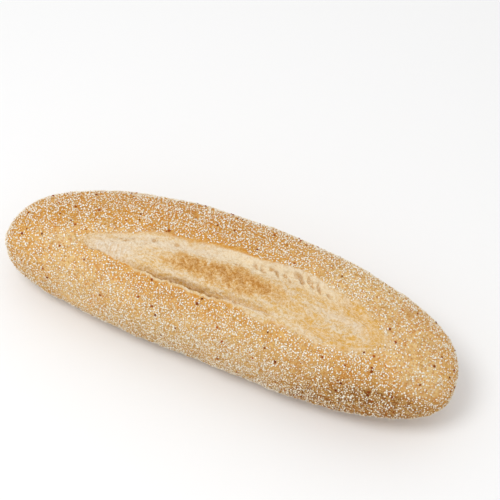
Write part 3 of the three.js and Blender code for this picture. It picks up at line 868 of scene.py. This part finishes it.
def place_group(tree, group, where, colour, dark, light, **shares):
    """Places such a group in a material; gives its outputs."""
    inputs = [("Colour", colour), ("Dark", dark), ("Light", light), ("Position", where), *shares.items()]
    return place(tree, "ShaderNodeGroup", inputs, node_tree=group).outputs


# %% The shared unevenness
# Blender's noise lies mostly between 0.35 and 0.65, so the soft steps below lie there too.
# size of one cloud in mm, detail, roughness and distortion of the noise
BROAD_CLOUDS = (15, 3, 0.5, 0.4)
PATCHY_CLOUDS = (4.2, 3, 0.6, 0.8)
FINE_CLOUDS = (1.1, 3, 0.7, 0.8)
# values of the noise between which each sets in; from high to low for the light side of it
BROAD_RISE, PATCHY_RISE = (0.42, 0.66), (0.42, 0.64)
FINE_DARK_RISE, FINE_LIGHT_RISE = (0.49, 0.62), (0.49, 0.38)
FINE_PITS = -0.6  # the patchy clouds stand up, and the fine ones are pits in them


def build_mottling():
    """Group: Colour in, Colour and Height out, uneven at three sizes."""
    group, start = start_group("oven_mottling", ["Broad", "Patchy", "Fine"])
    where, dark, light = start["Position"], start["Dark"], start["Light"]
    broad = rise(group, cloud(group, where, *BROAD_CLOUDS), *BROAD_RISE)
    patchy = rise(group, cloud(group, where, *PATCHY_CLOUDS), *PATCHY_RISE)
    fine = cloud(group, where, *FINE_CLOUDS)
    colour = layered(group, start["Colour"], [
        (times(group, broad, start["Broad"]), dark),
        (times(group, patchy, start["Patchy"]), light),
        (times(group, rise(group, fine, *FINE_DARK_RISE), start["Fine"]), dark),
        (times(group, rise(group, fine, *FINE_LIGHT_RISE), start["Fine"]), light),
    ])
    height = times(group, fine, FINE_PITS, patchy)
    place(group, "NodeGroupOutput", [("Colour", colour), ("Height", height)])
    return group


mottling = build_mottling()
print("group", mottling.name, "with", len(mottling.nodes), "nodes")

# %% [markdown]
# Between the grits the crust is sandy: the finest semolina dust baked into it, some of it scorched.
# Those specks are far too many to lay one by one. A second group draws them with a Voronoi pattern,
# which splits space into cells a millimetre wide, each with a tone of its own.

# %% The shared sandy specks
SPECK_MM = 0.95
SPECK_DARK_RISE, SPECK_LIGHT_RISE = (0.30, 0.06), (0.66, 0.94)  # tones that turn dark, and light
SPECK_SLOPE = (0.6, 0.1)  # distances from its middle, as shares of a cell, between which it rises


def build_specks():
    """Group: each cell of a Voronoi pattern stays as it is, or turns towards Dark or Light."""
    group, start = start_group("baked_specks", ["Amount"])
    pattern = [("Vector", start["Position"]), ("Scale", 1 / (SPECK_MM * MM))]
    cells = place(group, "ShaderNodeTexVoronoi", pattern).outputs
    tone = place(group, "ShaderNodeSeparateColor", [(0, cells["Color"])]).outputs[0]
    colour = layered(group, start["Colour"], [
        (times(group, rise(group, tone, *SPECK_DARK_RISE), start["Amount"]), start["Dark"]),
        (times(group, rise(group, tone, *SPECK_LIGHT_RISE), start["Amount"]), start["Light"]),
    ])
    height = times(group, rise(group, cells["Distance"], *SPECK_SLOPE), start["Amount"])
    place(group, "NodeGroupOutput", [("Colour", colour), ("Height", height)])
    return group


specks = build_specks()
print("group", specks.name, "with", len(specks.nodes), "nodes")

# %% Colours of crust and crumb
CRUST_GOLD = srgb(211, 154, 66)
CRUST_DARK = srgb(186, 114, 34)
CRUST_LIGHT = srgb(228, 188, 116)
CRUST_ORANGE = srgb(202, 126, 38)
# oven browning and painted shade
CRUST_BROWN_AND_SHADE = srgb(120, 70, 12)
CRUST_FAIR = srgb(230, 188, 122)
# partly painted light, laid where the fair marks are strongest
CRUST_FAIREST_AND_LIT = srgb(230, 198, 140)
CRUST_TAN = srgb(208, 174, 114)
# painted shade, greyer and darker, for the crust low on the flanks
CRUST_LOW_SHADE = srgb(176, 145, 96)
SCORCHED = srgb(190, 106, 26)
FLOURED = srgb(236, 212, 164)
RIM_GOLD = srgb(208, 146, 56)
UNDERSIDE = srgb(180, 132, 74)
CRUMB_CREAM = srgb(223, 197, 150)
CRUMB_PALE = srgb(229, 213, 188)
CRUMB_WHITE = srgb(238, 229, 214)
# painted light for the low far wall
WALL_PAINTED_LIGHT = srgb(240, 222, 186)
CRUMB_GOLD = srgb(219, 168, 76)
CRUMB_SHADE = srgb(190, 140, 62)
# painted shade, a warm tan, for the torn pockets and strands, and for the groove and seam
HOLLOW_SHADE = srgb(200, 152, 84)
GROOVE_SHADE = srgb(206, 160, 84)
TOAST_LIGHT = srgb(214, 170, 106)
TOAST = srgb(203, 151, 82)
TOAST_DARK = srgb(178, 121, 50)
TOAST_PALE = srgb(228, 194, 142)
print("crust gold as the shader takes it:", [round(v, 3) for v in CRUST_GOLD])


# %% [markdown]
# The crust starts from one gold. The marks lay tan, fair and browned places over it, and amber
# patches besides. Some browned places and the low flanks are painted shade, and some fair places
# and the fairest colour are painted light. Last come the mottling and the specks, which darken and
# lighten whatever colour lies below them.

# %% The crust's colour
CRUST_CLOUDS = (4.6, 3, 0.65, 1.0)
PATCHES_RISE, PATCHES_MOST = (0.53, 0.65), 0.5  # amber patches from the noise alone
TAN_CALMS = -0.45  # how much of them goes where the crust is tan
FAIREST_AND_LIT_RISE = (0.7, 1.2)
MOTTLED, SCORCHED_SHARE, FLOURED_SHARE = 0.7, 0.6, 0.35  # how far these colours leave the crust's own
SANDY_SHARE, FAIR_SANDIER = 0.6, 0.2


def crust_finish(tree, where):
    """Gold, browner or fairer by its marks, partly painted shade and light, mottled at three sizes, sandy
    all over.
    """
    fair_and_lit, tan = mask(tree, "fair_and_lit"), mask(tree, "tan")
    patches = rise(tree, cloud(tree, where, *CRUST_CLOUDS), *PATCHES_RISE, PATCHES_MOST)
    patches = times(tree, patches, times(tree, tan, TAN_CALMS, 1.0))
    crust = layered(tree, CRUST_GOLD, [
        (times(tree, tan, 0.9), CRUST_TAN),
        # painted shade low on the flanks
        (times(tree, mask(tree, "low"), 0.8), CRUST_LOW_SHADE),
        # fair marks, partly painted light; the fairest colour over them is partly painted light too
        (fair_and_lit, CRUST_FAIR),
        (rise(tree, fair_and_lit, *FAIREST_AND_LIT_RISE), CRUST_FAIREST_AND_LIT),
        (times(tree, mask(tree, "amber"), 0.8, patches), CRUST_ORANGE),
        # oven browning and painted shade
        (mask(tree, "browned_and_shaded"), CRUST_BROWN_AND_SHADE),
        (mask(tree, "rim"), RIM_GOLD),
        (times(tree, mask(tree, "crease"), 0.9), CRUMB_CREAM),
        (mask(tree, "underneath"), UNDERSIDE),
    ])
    darker = blend_colours(tree, MOTTLED, crust, CRUST_DARK)
    lighter = blend_colours(tree, MOTTLED, crust, CRUST_LIGHT)
    crust = place_group(tree, mottling, where, crust, darker, lighter, Broad=0.4, Patchy=0.6, Fine=0.55)
    crust = crust["Colour"]
    scorched = blend_colours(tree, SCORCHED_SHARE, crust, SCORCHED)
    floured = blend_colours(tree, FLOURED_SHARE, crust, FLOURED)
    sandy = times(tree, fair_and_lit, FAIR_SANDIER, SANDY_SHARE)
    return place_group(tree, specks, where, crust, scorched, floured, Amount=sandy)


# %% [markdown]
# The crumb is cream, with paler and more golden wisps. Fine fibres run along the dough. The toasted
# patches are broken up by noise at two sizes, because only the highest bubbles met the heat.

# %% The crumb's colour
FIBRES_RUN = (0.34, 1.0, 1.0)  # a pattern squeezed along X comes out longer that way
FIBRES_TURN = (0, 0, 0.1)
FIBRE_CLOUDS = (1.3, 3, 0.7, 1.8)
TOAST_PATCHES = (6.0, 4, 0.7, 1.2)
TOAST_FLECKS = (1.3, 3, 0.75, 1.2)
# values of a mark or of the noise between which each colour sets in, and its most if that isn't 1
GOLD_WISPS_RISE, PALE_WISPS_RISE = (0.49, 0.66), (0.48, 0.34)
TOAST_PATCHES_RISE, TOAST_FLECKS_RISE = (0.38, 0.58), (0.44, 0.60)
TOAST_LIGHT_RISE, TOAST_RISE, TOAST_DARK_RISE = (0.02, 0.45), (0.35, 0.95), (0.85, 1.35)
TOAST_SHADES_RISE = (0.1, 0.8)
RIB_RIDGES_RISE, RIB_GAPS_RISE = (0.5, 0.85, 0.8), (0.5, 0.1, 0.3)
FIBRES_RISE, FIBRES_SHARE = (0.45, 0.57), 0.4
CRUMB_MOTTLED, CRUMB_SANDY = 0.6, 0.5


def crumb_finish(tree, where):
    """Cream streaked with pale and gold, toasted in patches; painted shade in hollows, light on the far
    wall.
    """
    stretch = [("Vector", where), ("Scale", FIBRES_RUN), ("Rotation", FIBRES_TURN)]
    run = place(tree, "ShaderNodeMapping", stretch).outputs[0]
    golden, pale, wisps, ribs = [mask(tree, name) for name in ("golden", "pale", "wisps", "ribs")]
    gold_wisps = times(tree, rise(tree, wisps, *GOLD_WISPS_RISE), times(tree, golden, 0.5, 0.45))
    pale_wisps = times(tree, rise(tree, wisps, *PALE_WISPS_RISE), times(tree, golden, -0.3, 0.75))
    patches = rise(tree, cloud(tree, where, *TOAST_PATCHES), *TOAST_PATCHES_RISE)
    patches = times(tree, patches, 0.85, 0.25)
    flecks = rise(tree, cloud(tree, where, *TOAST_FLECKS), *TOAST_FLECKS_RISE)
    uneven = times(tree, flecks, 0.8, patches)
    toast = times(tree, mask(tree, "toasted"), uneven)
    crumb = layered(tree, CRUMB_CREAM, [
        (pale, CRUMB_PALE),
        (times(tree, mask(tree, "drawn"), 0.3), CRUMB_WHITE),
        (times(tree, golden, 0.75), CRUMB_GOLD),
        (times(tree, gold_wisps, times(tree, pale, -0.7, 1.0)), CRUMB_GOLD),
        (pale_wisps, CRUMB_PALE),
        # painted light on the low far wall
        (times(tree, mask(tree, "wall"), 0.75), WALL_PAINTED_LIGHT),
        (rise(tree, ribs, *RIB_RIDGES_RISE), CRUMB_WHITE),
        (rise(tree, ribs, *RIB_GAPS_RISE), CRUMB_SHADE),
        (rise(tree, toast, *TOAST_LIGHT_RISE), TOAST_LIGHT),
        (rise(tree, toast, *TOAST_RISE), TOAST),
        (rise(tree, toast, *TOAST_DARK_RISE), TOAST_DARK),
        # painted shade in the groove and seam, then in the torn pockets and strands
        (times(tree, mask(tree, "groove"), 0.85), GROOVE_SHADE),
        (times(tree, mask(tree, "hollow"), 0.64), HOLLOW_SHADE),
    ])
    in_toast = rise(tree, toast, *TOAST_SHADES_RISE)
    shade = blend_colours(tree, in_toast, CRUMB_SHADE, TOAST_DARK)
    darker = blend_colours(tree, times(tree, pale, -0.12, 0.5), crumb, shade)
    lighter = blend_colours(tree, in_toast, CRUMB_PALE, TOAST_PALE)
    lighter = blend_colours(tree, CRUMB_MOTTLED, crumb, lighter)
    fibres = rise(tree, cloud(tree, run, *FIBRE_CLOUDS), *FIBRES_RISE)
    crumb = blend_colours(tree, times(tree, fibres, FIBRES_SHARE), crumb, darker)
    crumb = place_group(tree, specks, run, crumb, darker, lighter, Amount=CRUMB_SANDY)["Colour"]
    return place_group(tree, mottling, where, crumb, darker, lighter, Broad=0.15, Patchy=0.5, Fine=1.0)


# %% [markdown]
# Crust and crumb are one skin, so they share one material. A mark chooses between their colours,
# and one Bump node carries the fine roughness of both.

# %% One material for the loaf
BREAD_ROUGH, BREAD_SHEEN = 0.8, 0.15
BUMP_STRENGTH, BUMP_MM = 0.7, 0.4


def build_loaf_material():
    """Crust outside the opening, crumb inside it, both matt and finely rough."""
    material, shader = new_material("baked_loaf", BREAD_ROUGH, BREAD_SHEEN)
    tree = material.node_tree
    where = place(tree, "ShaderNodeTexCoord").outputs["Object"]
    crust, crumb, opened = crust_finish(tree, where), crumb_finish(tree, where), mask(tree, "opened")
    colour = blend_colours(tree, opened, crust["Colour"], crumb["Colour"])
    tree.links.new(colour, shader.inputs["Base Color"])
    rough = times(tree, crust["Height"], times(tree, opened, -0.8, 0.8), crumb["Height"])
    bump = [("Height", rough), ("Strength", BUMP_STRENGTH), ("Distance", BUMP_MM * MM)]
    tree.links.new(place(tree, "ShaderNodeBump", bump).outputs[0], shader.inputs["Normal"])
    return material


loaf.data.materials.clear()
loaf.data.materials.append(build_loaf_material())
bpy.ops.object.select_all(action="DESELECT")
loaf.select_set(True)
bpy.context.view_layer.objects.active = loaf
bpy.ops.object.shade_smooth()
print("loaf material:", loaf.data.materials[0].name)

# %% [markdown]
# ## The grits
#
# Semolina is broken wheat: angular grains with worn corners, most of them about a millimetre long.
# One grain is made from an icosphere, and a finer crumb of grain from a cube, knocked out of
# round in edit mode in a few variants. Thousands of operators would take hours, so the copies are
# laid by array: each grain's points are turned, sized and moved, and each kind becomes one mesh.
# Two hundred of the grains are flecks of bran, which the oven toasted dark.

# %% One grain, in a few shapes
ROUND_SHAPES, ROUND_WORN = 6, 0.09
SQUARE_SHAPES, SQUARE_WORN, SQUARE_SIDE = 4, 0.12, 0.72


def shapes_of(add, count, offset):
    """Makes count knocked-about variants of a primitive and keeps their corners and faces."""
    shapes = []
    for seed in range(count):
        bpy.ops.object.select_all(action="DESELECT")
        add()
        grain = bpy.context.object
        bpy.ops.object.mode_set(mode="EDIT")
        bpy.ops.mesh.select_all(action="SELECT")
        bpy.ops.transform.vertex_random(offset=offset, seed=seed + 1)
        bpy.ops.mesh.quads_convert_to_tris()
        bpy.ops.object.mode_set(mode="OBJECT")
        corners = np.array([v.co[:] for v in grain.data.vertices])
        faces = np.array([f.vertices[:] for f in grain.data.polygons])
        shapes.append((corners - corners.mean(0), faces))
        bpy.data.objects.remove(grain, do_unlink=True)
    print(count, "shapes of", len(shapes[0][1]), "faces")
    return shapes


def add_round():
    """A round grain, one unit wide before it is sized."""
    bpy.ops.mesh.primitive_ico_sphere_add(subdivisions=1, radius=0.5)


def add_square():
    """A square grain, a little smaller."""
    bpy.ops.mesh.primitive_cube_add(size=SQUARE_SIDE)


grain_shapes = shapes_of(add_round, ROUND_SHAPES, ROUND_WORN)
crumb_shapes = shapes_of(add_square, SQUARE_SHAPES, SQUARE_WORN)

# %% [markdown]
# The grits lie thick on the crust, but not evenly: they clump, thin out over rubbed places, and
# stop at the opening. So each face of the loaf gets a density of its own, in grits a square
# millimetre, and its share of the grits follows from its area.

# %% Where grits lie
GRITS_PER_MM2 = 0.58
BARE_STEP = 0.06  # the grits set in over this much beyond the bare line
FEWEST = 0.12  # the share of grits that even the barest spot keeps
FOOT_BARE, FLANK_THINNER, FLANK_FULL = (0.8, 5), 0.75, (8, 30)
MM_A_DEGREE = 0.75  # a rough measure round the loaf
# strength, width of one cloud along x, y and z in mm, place in the noise, octaves
CLUMPS = (0.9, (7.0, 6.0, 1.0), 300, 3)
CLUMPS_MIDDLE, CLUMPS_RANGE = 0.95, (0.3, 1.5)
# (x in mm, share across) along the lines inside which the crumb is bare
BARE_NEAR = [
    (-84, 1.01), (-60, 1.04), (-34, 1.05), (-13, 1.05), (4, 1.05), (15, 1.07), (27, 1.14), (38, 1.03),
    (52, 0.97), (73, 0.96), (84, 0.91), (96, 0.88),
]
BARE_FAR = [(-84, 0.03), (-60, 0.06), (-40, 0.06), (-20, 0.04), (10, 0.02), (22, -0.02), (96, -0.04)]
# place along x, degrees round, reach along x, reach in degrees, share of grits taken away
SPARSE_SPOTS = [
    (-112, 78, 9, 12, 0.35), (-99, 86, 11, 9, 0.35), (-119, 128, 12, 20, 0.3), (-93, 152, 26, 26, 0.62),
    (-70, 142, 20, 15, 0.3), (-98, 196, 16, 16, 0.65), (-78, 186, 22, 16, 0.65), (-45, 165, 34, 18, 0.3),
    (-92, 112, 14, 8, 0.6), (101, 102, 14, 18, 0.5), (112, 92, 18, 40, 0.45), (104, 126, 14, 14, 0.3),
    (120, 140, 14, 30, 0.4), (128, 175, 8, 20, 0.45), (70, 64, 20, 10, 0.2), (100, 60, 20, 20, 0.3),
    (92, 182, 34, 30, 0.6), (6, 176, 46, 28, 0.6), (52, 166, 26, 22, 0.45), (-48, 186, 34, 18, 0.3),
    (100, 74, 22, 14, 0.3),
]


def grit_density(x, degrees, z, across):
    """Grits per square millimetre of skin, and the share left by the sparse spots."""
    rounded = np.hypot(end_share(x), 2 * across - 1) - 1
    bare = np.where(across < 0.5, along(BARE_FAR, x), along(BARE_NEAR, x) - 1)
    outside = smooth(rounded / 2, bare, bare + BARE_STEP)
    thin = np.maximum(FEWEST, 1 - spots(x, degrees, SPARSE_SPOTS))
    foot = smooth(z, *FOOT_BARE) * mix(FLANK_THINNER, 1, smooth(z, *FLANK_FULL))
    clumps = np.clip(CLUMPS_MIDDLE + noisy(sheet(x, degrees * MM_A_DEGREE), *CLUMPS), *CLUMPS_RANGE)
    return GRITS_PER_MM2 * outside * thin * foot * clumps, thin


# %% Faces of the loaf, and the grits that each has room for
RANDOM_SEED = 7
FACE_TINY = 1e-12


def quads():
    """The loaf's faces as rows of four corner numbers; triangles at the poles are left out."""
    loops = np.empty(len(loaf.data.polygons), dtype=np.int32)
    loaf.data.polygons.foreach_get("loop_total", loops)
    starts = np.empty(len(loops), dtype=np.int32)
    loaf.data.polygons.foreach_get("loop_start", starts)
    corners = np.empty(len(loaf.data.loops), dtype=np.int32)
    loaf.data.loops.foreach_get("vertex_index", corners)
    return corners[starts[loops == 4][:, None] + np.arange(4)]


random = np.random.default_rng(RANDOM_SEED)
corner = quads()
square = skin_mm[corner]
normal = np.cross(square[:, 2] - square[:, 0], square[:, 3] - square[:, 1])
area = np.linalg.norm(normal, axis=1) / 2
normal /= np.linalg.norm(normal, axis=1, keepdims=True) + FACE_TINY
face_x, face_across = ring_x[corner].mean(1), across[corner].mean(1)
face_angle = np.median(angle[corner], axis=1)
density, thinning = grit_density(face_x, face_angle, square[:, :, 2].mean(1), face_across)
wanted = density * area
print("skin", round(area.sum() / 100), "cm2, room for", int(wanted.sum()), "grits")

# %% [markdown]
# Grits thrown at random would land in one another, and stuck grits don't. Each new one is kept only
# if no other lies too close. Comparing each with all the rest would be slow, so the space is parted
# into cells as wide as that distance, and only the grits in the cells around it are looked at.

# %% Throw the grits, keeping them apart
CLOSEST_MM = 0.92
MOST_GRITS = 25000
TRIES_A_GRIT = 1.8


def throw(count, chance, closest, others=None):
    """Points on the skin with their outward directions, none closer than closest to another."""
    tries = random.choice(len(chance), size=int(count * TRIES_A_GRIT), p=chance / chance.sum())
    u, v = random.random((2, len(tries), 1))
    sides = square[tries]
    points = mix(mix(sides[:, 0], sides[:, 1], u), mix(sides[:, 3], sides[:, 2], u), v)
    if others is not None:
        points = np.concatenate([others, points])
    settled = 0 if others is None else len(others)
    cells, kept = {}, []
    for i, cell in enumerate(map(tuple, np.floor(points / closest).astype(int))):
        near = [
            j
            for dx in (-1, 0, 1) for dy in (-1, 0, 1) for dz in (-1, 0, 1)
            for j in cells.get((cell[0] + dx, cell[1] + dy, cell[2] + dz), ())
        ]
        if i < settled or all(np.dot(d, d) > closest**2 for d in points[near] - points[i]):
            cells.setdefault(cell, []).append(i)
            if i >= settled:
                kept.append(i)
        if len(kept) == count:
            break
    kept = np.array(kept)
    return points[kept], normal[tries[kept - settled]]


grit_points, grit_out = throw(min(int(wanted.sum()), MOST_GRITS), wanted, CLOSEST_MM)
print("grits thrown:", len(grit_points))

# %% [markdown]
# A grain lies flat on the skin, turned any way round, a little sunk in. No two have quite the same
# size or shape. Each grain's corners carry one tone, a number that its material turns into a colour
# between two, so that one mesh and one material still give thousands of slightly different grains.

# %% Lay each kind of grain as one mesh
FINER_LOW = 0.80  # grains near the foot are this share of the size of those on top
FULL_SIZE = (10, 46)  # heights above the floor between which they grow
OUT_OF_SHAPE = 0.5  # how unevenly a grain is stretched, as a share of its spread
ANY_WAY = (0.31, 0.17, 0.93)  # a direction that no grain points in exactly
FLOOR_SHARE = 0.6  # a grain's middle stays this share of its length above the floor


def lay(name, points, out, sizes, spread, sunk, shapes, material):
    """Joins a grain at each point into one piece. Sizes are in mm, spread is a share of them."""
    count = len(points)
    size = np.tile(np.array(sizes, float), (count, 1))
    size *= mix(FINER_LOW, 1, smooth(points[:, 2:], *FULL_SIZE))
    size *= 1 + spread * (random.random((count, 1)) * 2 - 1)
    size *= 1 + spread * OUT_OF_SHAPE * (random.random((count, 3)) * 2 - 1)
    spin = random.random(count) * 2 * np.pi
    aside = np.cross(out, ANY_WAY)
    aside /= np.linalg.norm(aside, axis=1, keepdims=True)
    other = np.cross(out, aside)
    first = aside * np.cos(spin)[:, None] + other * np.sin(spin)[:, None]
    axes = np.stack([first, np.cross(out, first), out], axis=1)
    centres = points + out * (size[:, 2:] * (0.5 - sunk))
    centres[:, 2] = np.maximum(centres[:, 2], size[:, 0] * FLOOR_SHARE)
    shape = random.integers(len(shapes), size=count)
    corners = np.stack([shapes[s][0] for s in shape]) * size[:, None, :]
    placed = np.einsum("nij,njk->nik", corners, axes) + centres[:, None, :]
    steps = np.arange(count)[:, None, None] * len(shapes[0][0])
    faces = np.stack([shapes[s][1] for s in shape]) + steps
    mesh = bpy.data.meshes.new(name)
    mesh.from_pydata((placed.reshape(-1, 3) * MM).tolist(), [], faces.reshape(-1, 3).tolist())
    tone = mesh.attributes.new("tone", "FLOAT", "POINT")
    tones = np.repeat(random.random(count), len(shapes[0][0]))
    tone.data.foreach_set("value", tones.astype(np.float32))
    piece = bpy.data.objects.new(name, mesh)
    bpy.context.collection.objects.link(piece)
    mesh.materials.append(material)
    mesh.polygons.foreach_set("use_smooth", np.ones(len(mesh.polygons), dtype=bool))
    print(name, count, "grains,", len(mesh.polygons), "faces")
    return piece


# %% [markdown]
# The kinds of grain differ in their two colours and their roughness alone, so one function makes
# the material of each.

# %% Grain materials
def build_grain_material(name, dark, light, roughness):
    """Each grain has its own tone between two colours, and a little mottling."""
    material, shader = new_material(name, roughness, BREAD_SHEEN)
    tree = material.node_tree
    where = place(tree, "ShaderNodeTexCoord").outputs["Object"]
    colour = blend_colours(tree, mask(tree, "tone"), dark, light)
    grain = place_group(tree, mottling, where, colour, dark, light, Broad=0.15, Patchy=0.2, Fine=0.2)
    tree.links.new(grain["Colour"], shader.inputs["Base Color"])
    return material


# name, darkest and lightest colour, roughness
white = build_grain_material("semolina_white", srgb(238, 228, 204), srgb(252, 249, 240), 0.6)
cream = build_grain_material("semolina_cream", srgb(226, 203, 160), srgb(242, 230, 202), 0.6)
gold = build_grain_material("semolina_gold", srgb(198, 146, 66), srgb(226, 188, 116), 0.65)
crumbs = build_grain_material("semolina_crumbs", srgb(234, 219, 188), srgb(250, 244, 230), 0.65)
dust = build_grain_material("semolina_dust", srgb(200, 154, 82), srgb(232, 204, 150), 0.7)
bran = build_grain_material("toasted_bran", srgb(98, 32, 4), srgb(186, 98, 34), 0.8)

# %% [markdown]
# Most of the grits are the white inside of the grain, and the rest are cream or gold. The gaps
# between them hold finer grains, thickest where the crust looks sandy: low on the near side and
# along the back. They are thrown last, and none right on top of a grit that already lies there.

# %% Share the grits out
BRAN_COUNT = 200
MOST_OF_A_KIND = 9900
CREAM_SHARE = 0.62  # of the grits that aren't white
MOST_SMALL, SMALL_CLOSEST_MM = 24000, 0.50
GRIT_SPREAD, GRIT_SUNK = 0.34, 0.11
SMALL_SPREAD, SMALL_SUNK = 0.3, 0.3
SANDY_BASE = 0.1  # the share of small grains away from the sandy spots
THINNED_MOST = 0.3  # small grains make up for missing grits, down to this share of them
# place along x, degrees round, reach along x, reach in degrees, strength
SANDY_SPOTS = [
    (-34, 198, 76, 34, 1.1), (34, 220, 36, 18, 0.6), (30, -20, 120, 30, 0.5), (10, 168, 42, 28, 1.1),
]
order = random.permutation(len(grit_points))
bran_part, white_part, rest = np.split(order, [BRAN_COUNT, BRAN_COUNT + MOST_OF_A_KIND])
cream_part, gold_part = np.split(rest, [int(CREAM_SHARE * len(rest))])
sandy = SANDY_BASE + spots(face_x, face_angle, SANDY_SPOTS)
sandy *= wanted / np.maximum(thinning, THINNED_MOST)
small_points, small_out = throw(MOST_SMALL, sandy, SMALL_CLOSEST_MM, grit_points)
print("small grains:", len(small_points))

# %% Make the grains
# name, which of the grits or small grains, (length, width, thickness) in mm, material
pieces = [loaf]
for name, part, sizes, material in [
    ("white_grits", white_part, (1.14, 0.84, 0.72), white),
    ("cream_grits", cream_part, (1.04, 0.78, 0.64), cream),
    ("gold_grits", gold_part, (0.98, 0.72, 0.56), gold),
    ("bran_flecks", bran_part, (1.55, 1.2, 0.8), bran),
]:
    places, ways = grit_points[part], grit_out[part]
    pieces.append(lay(name, places, ways, sizes, GRIT_SPREAD, GRIT_SUNK, grain_shapes, material))
for name, part, sizes, material in [
    ("white_crumbs", slice(0, None, 2), (0.74, 0.58, 0.48), crumbs),
    ("grit_dust", slice(1, None, 2), (0.66, 0.52, 0.42), dust),
]:
    places, ways = small_points[part], small_out[part]
    pieces.append(lay(name, places, ways, sizes, SMALL_SPREAD, SMALL_SUNK, crumb_shapes, material))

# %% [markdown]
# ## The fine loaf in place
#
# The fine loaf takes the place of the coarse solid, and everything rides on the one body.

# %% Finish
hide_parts("baton")
for piece in pieces:
    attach(piece, "root")
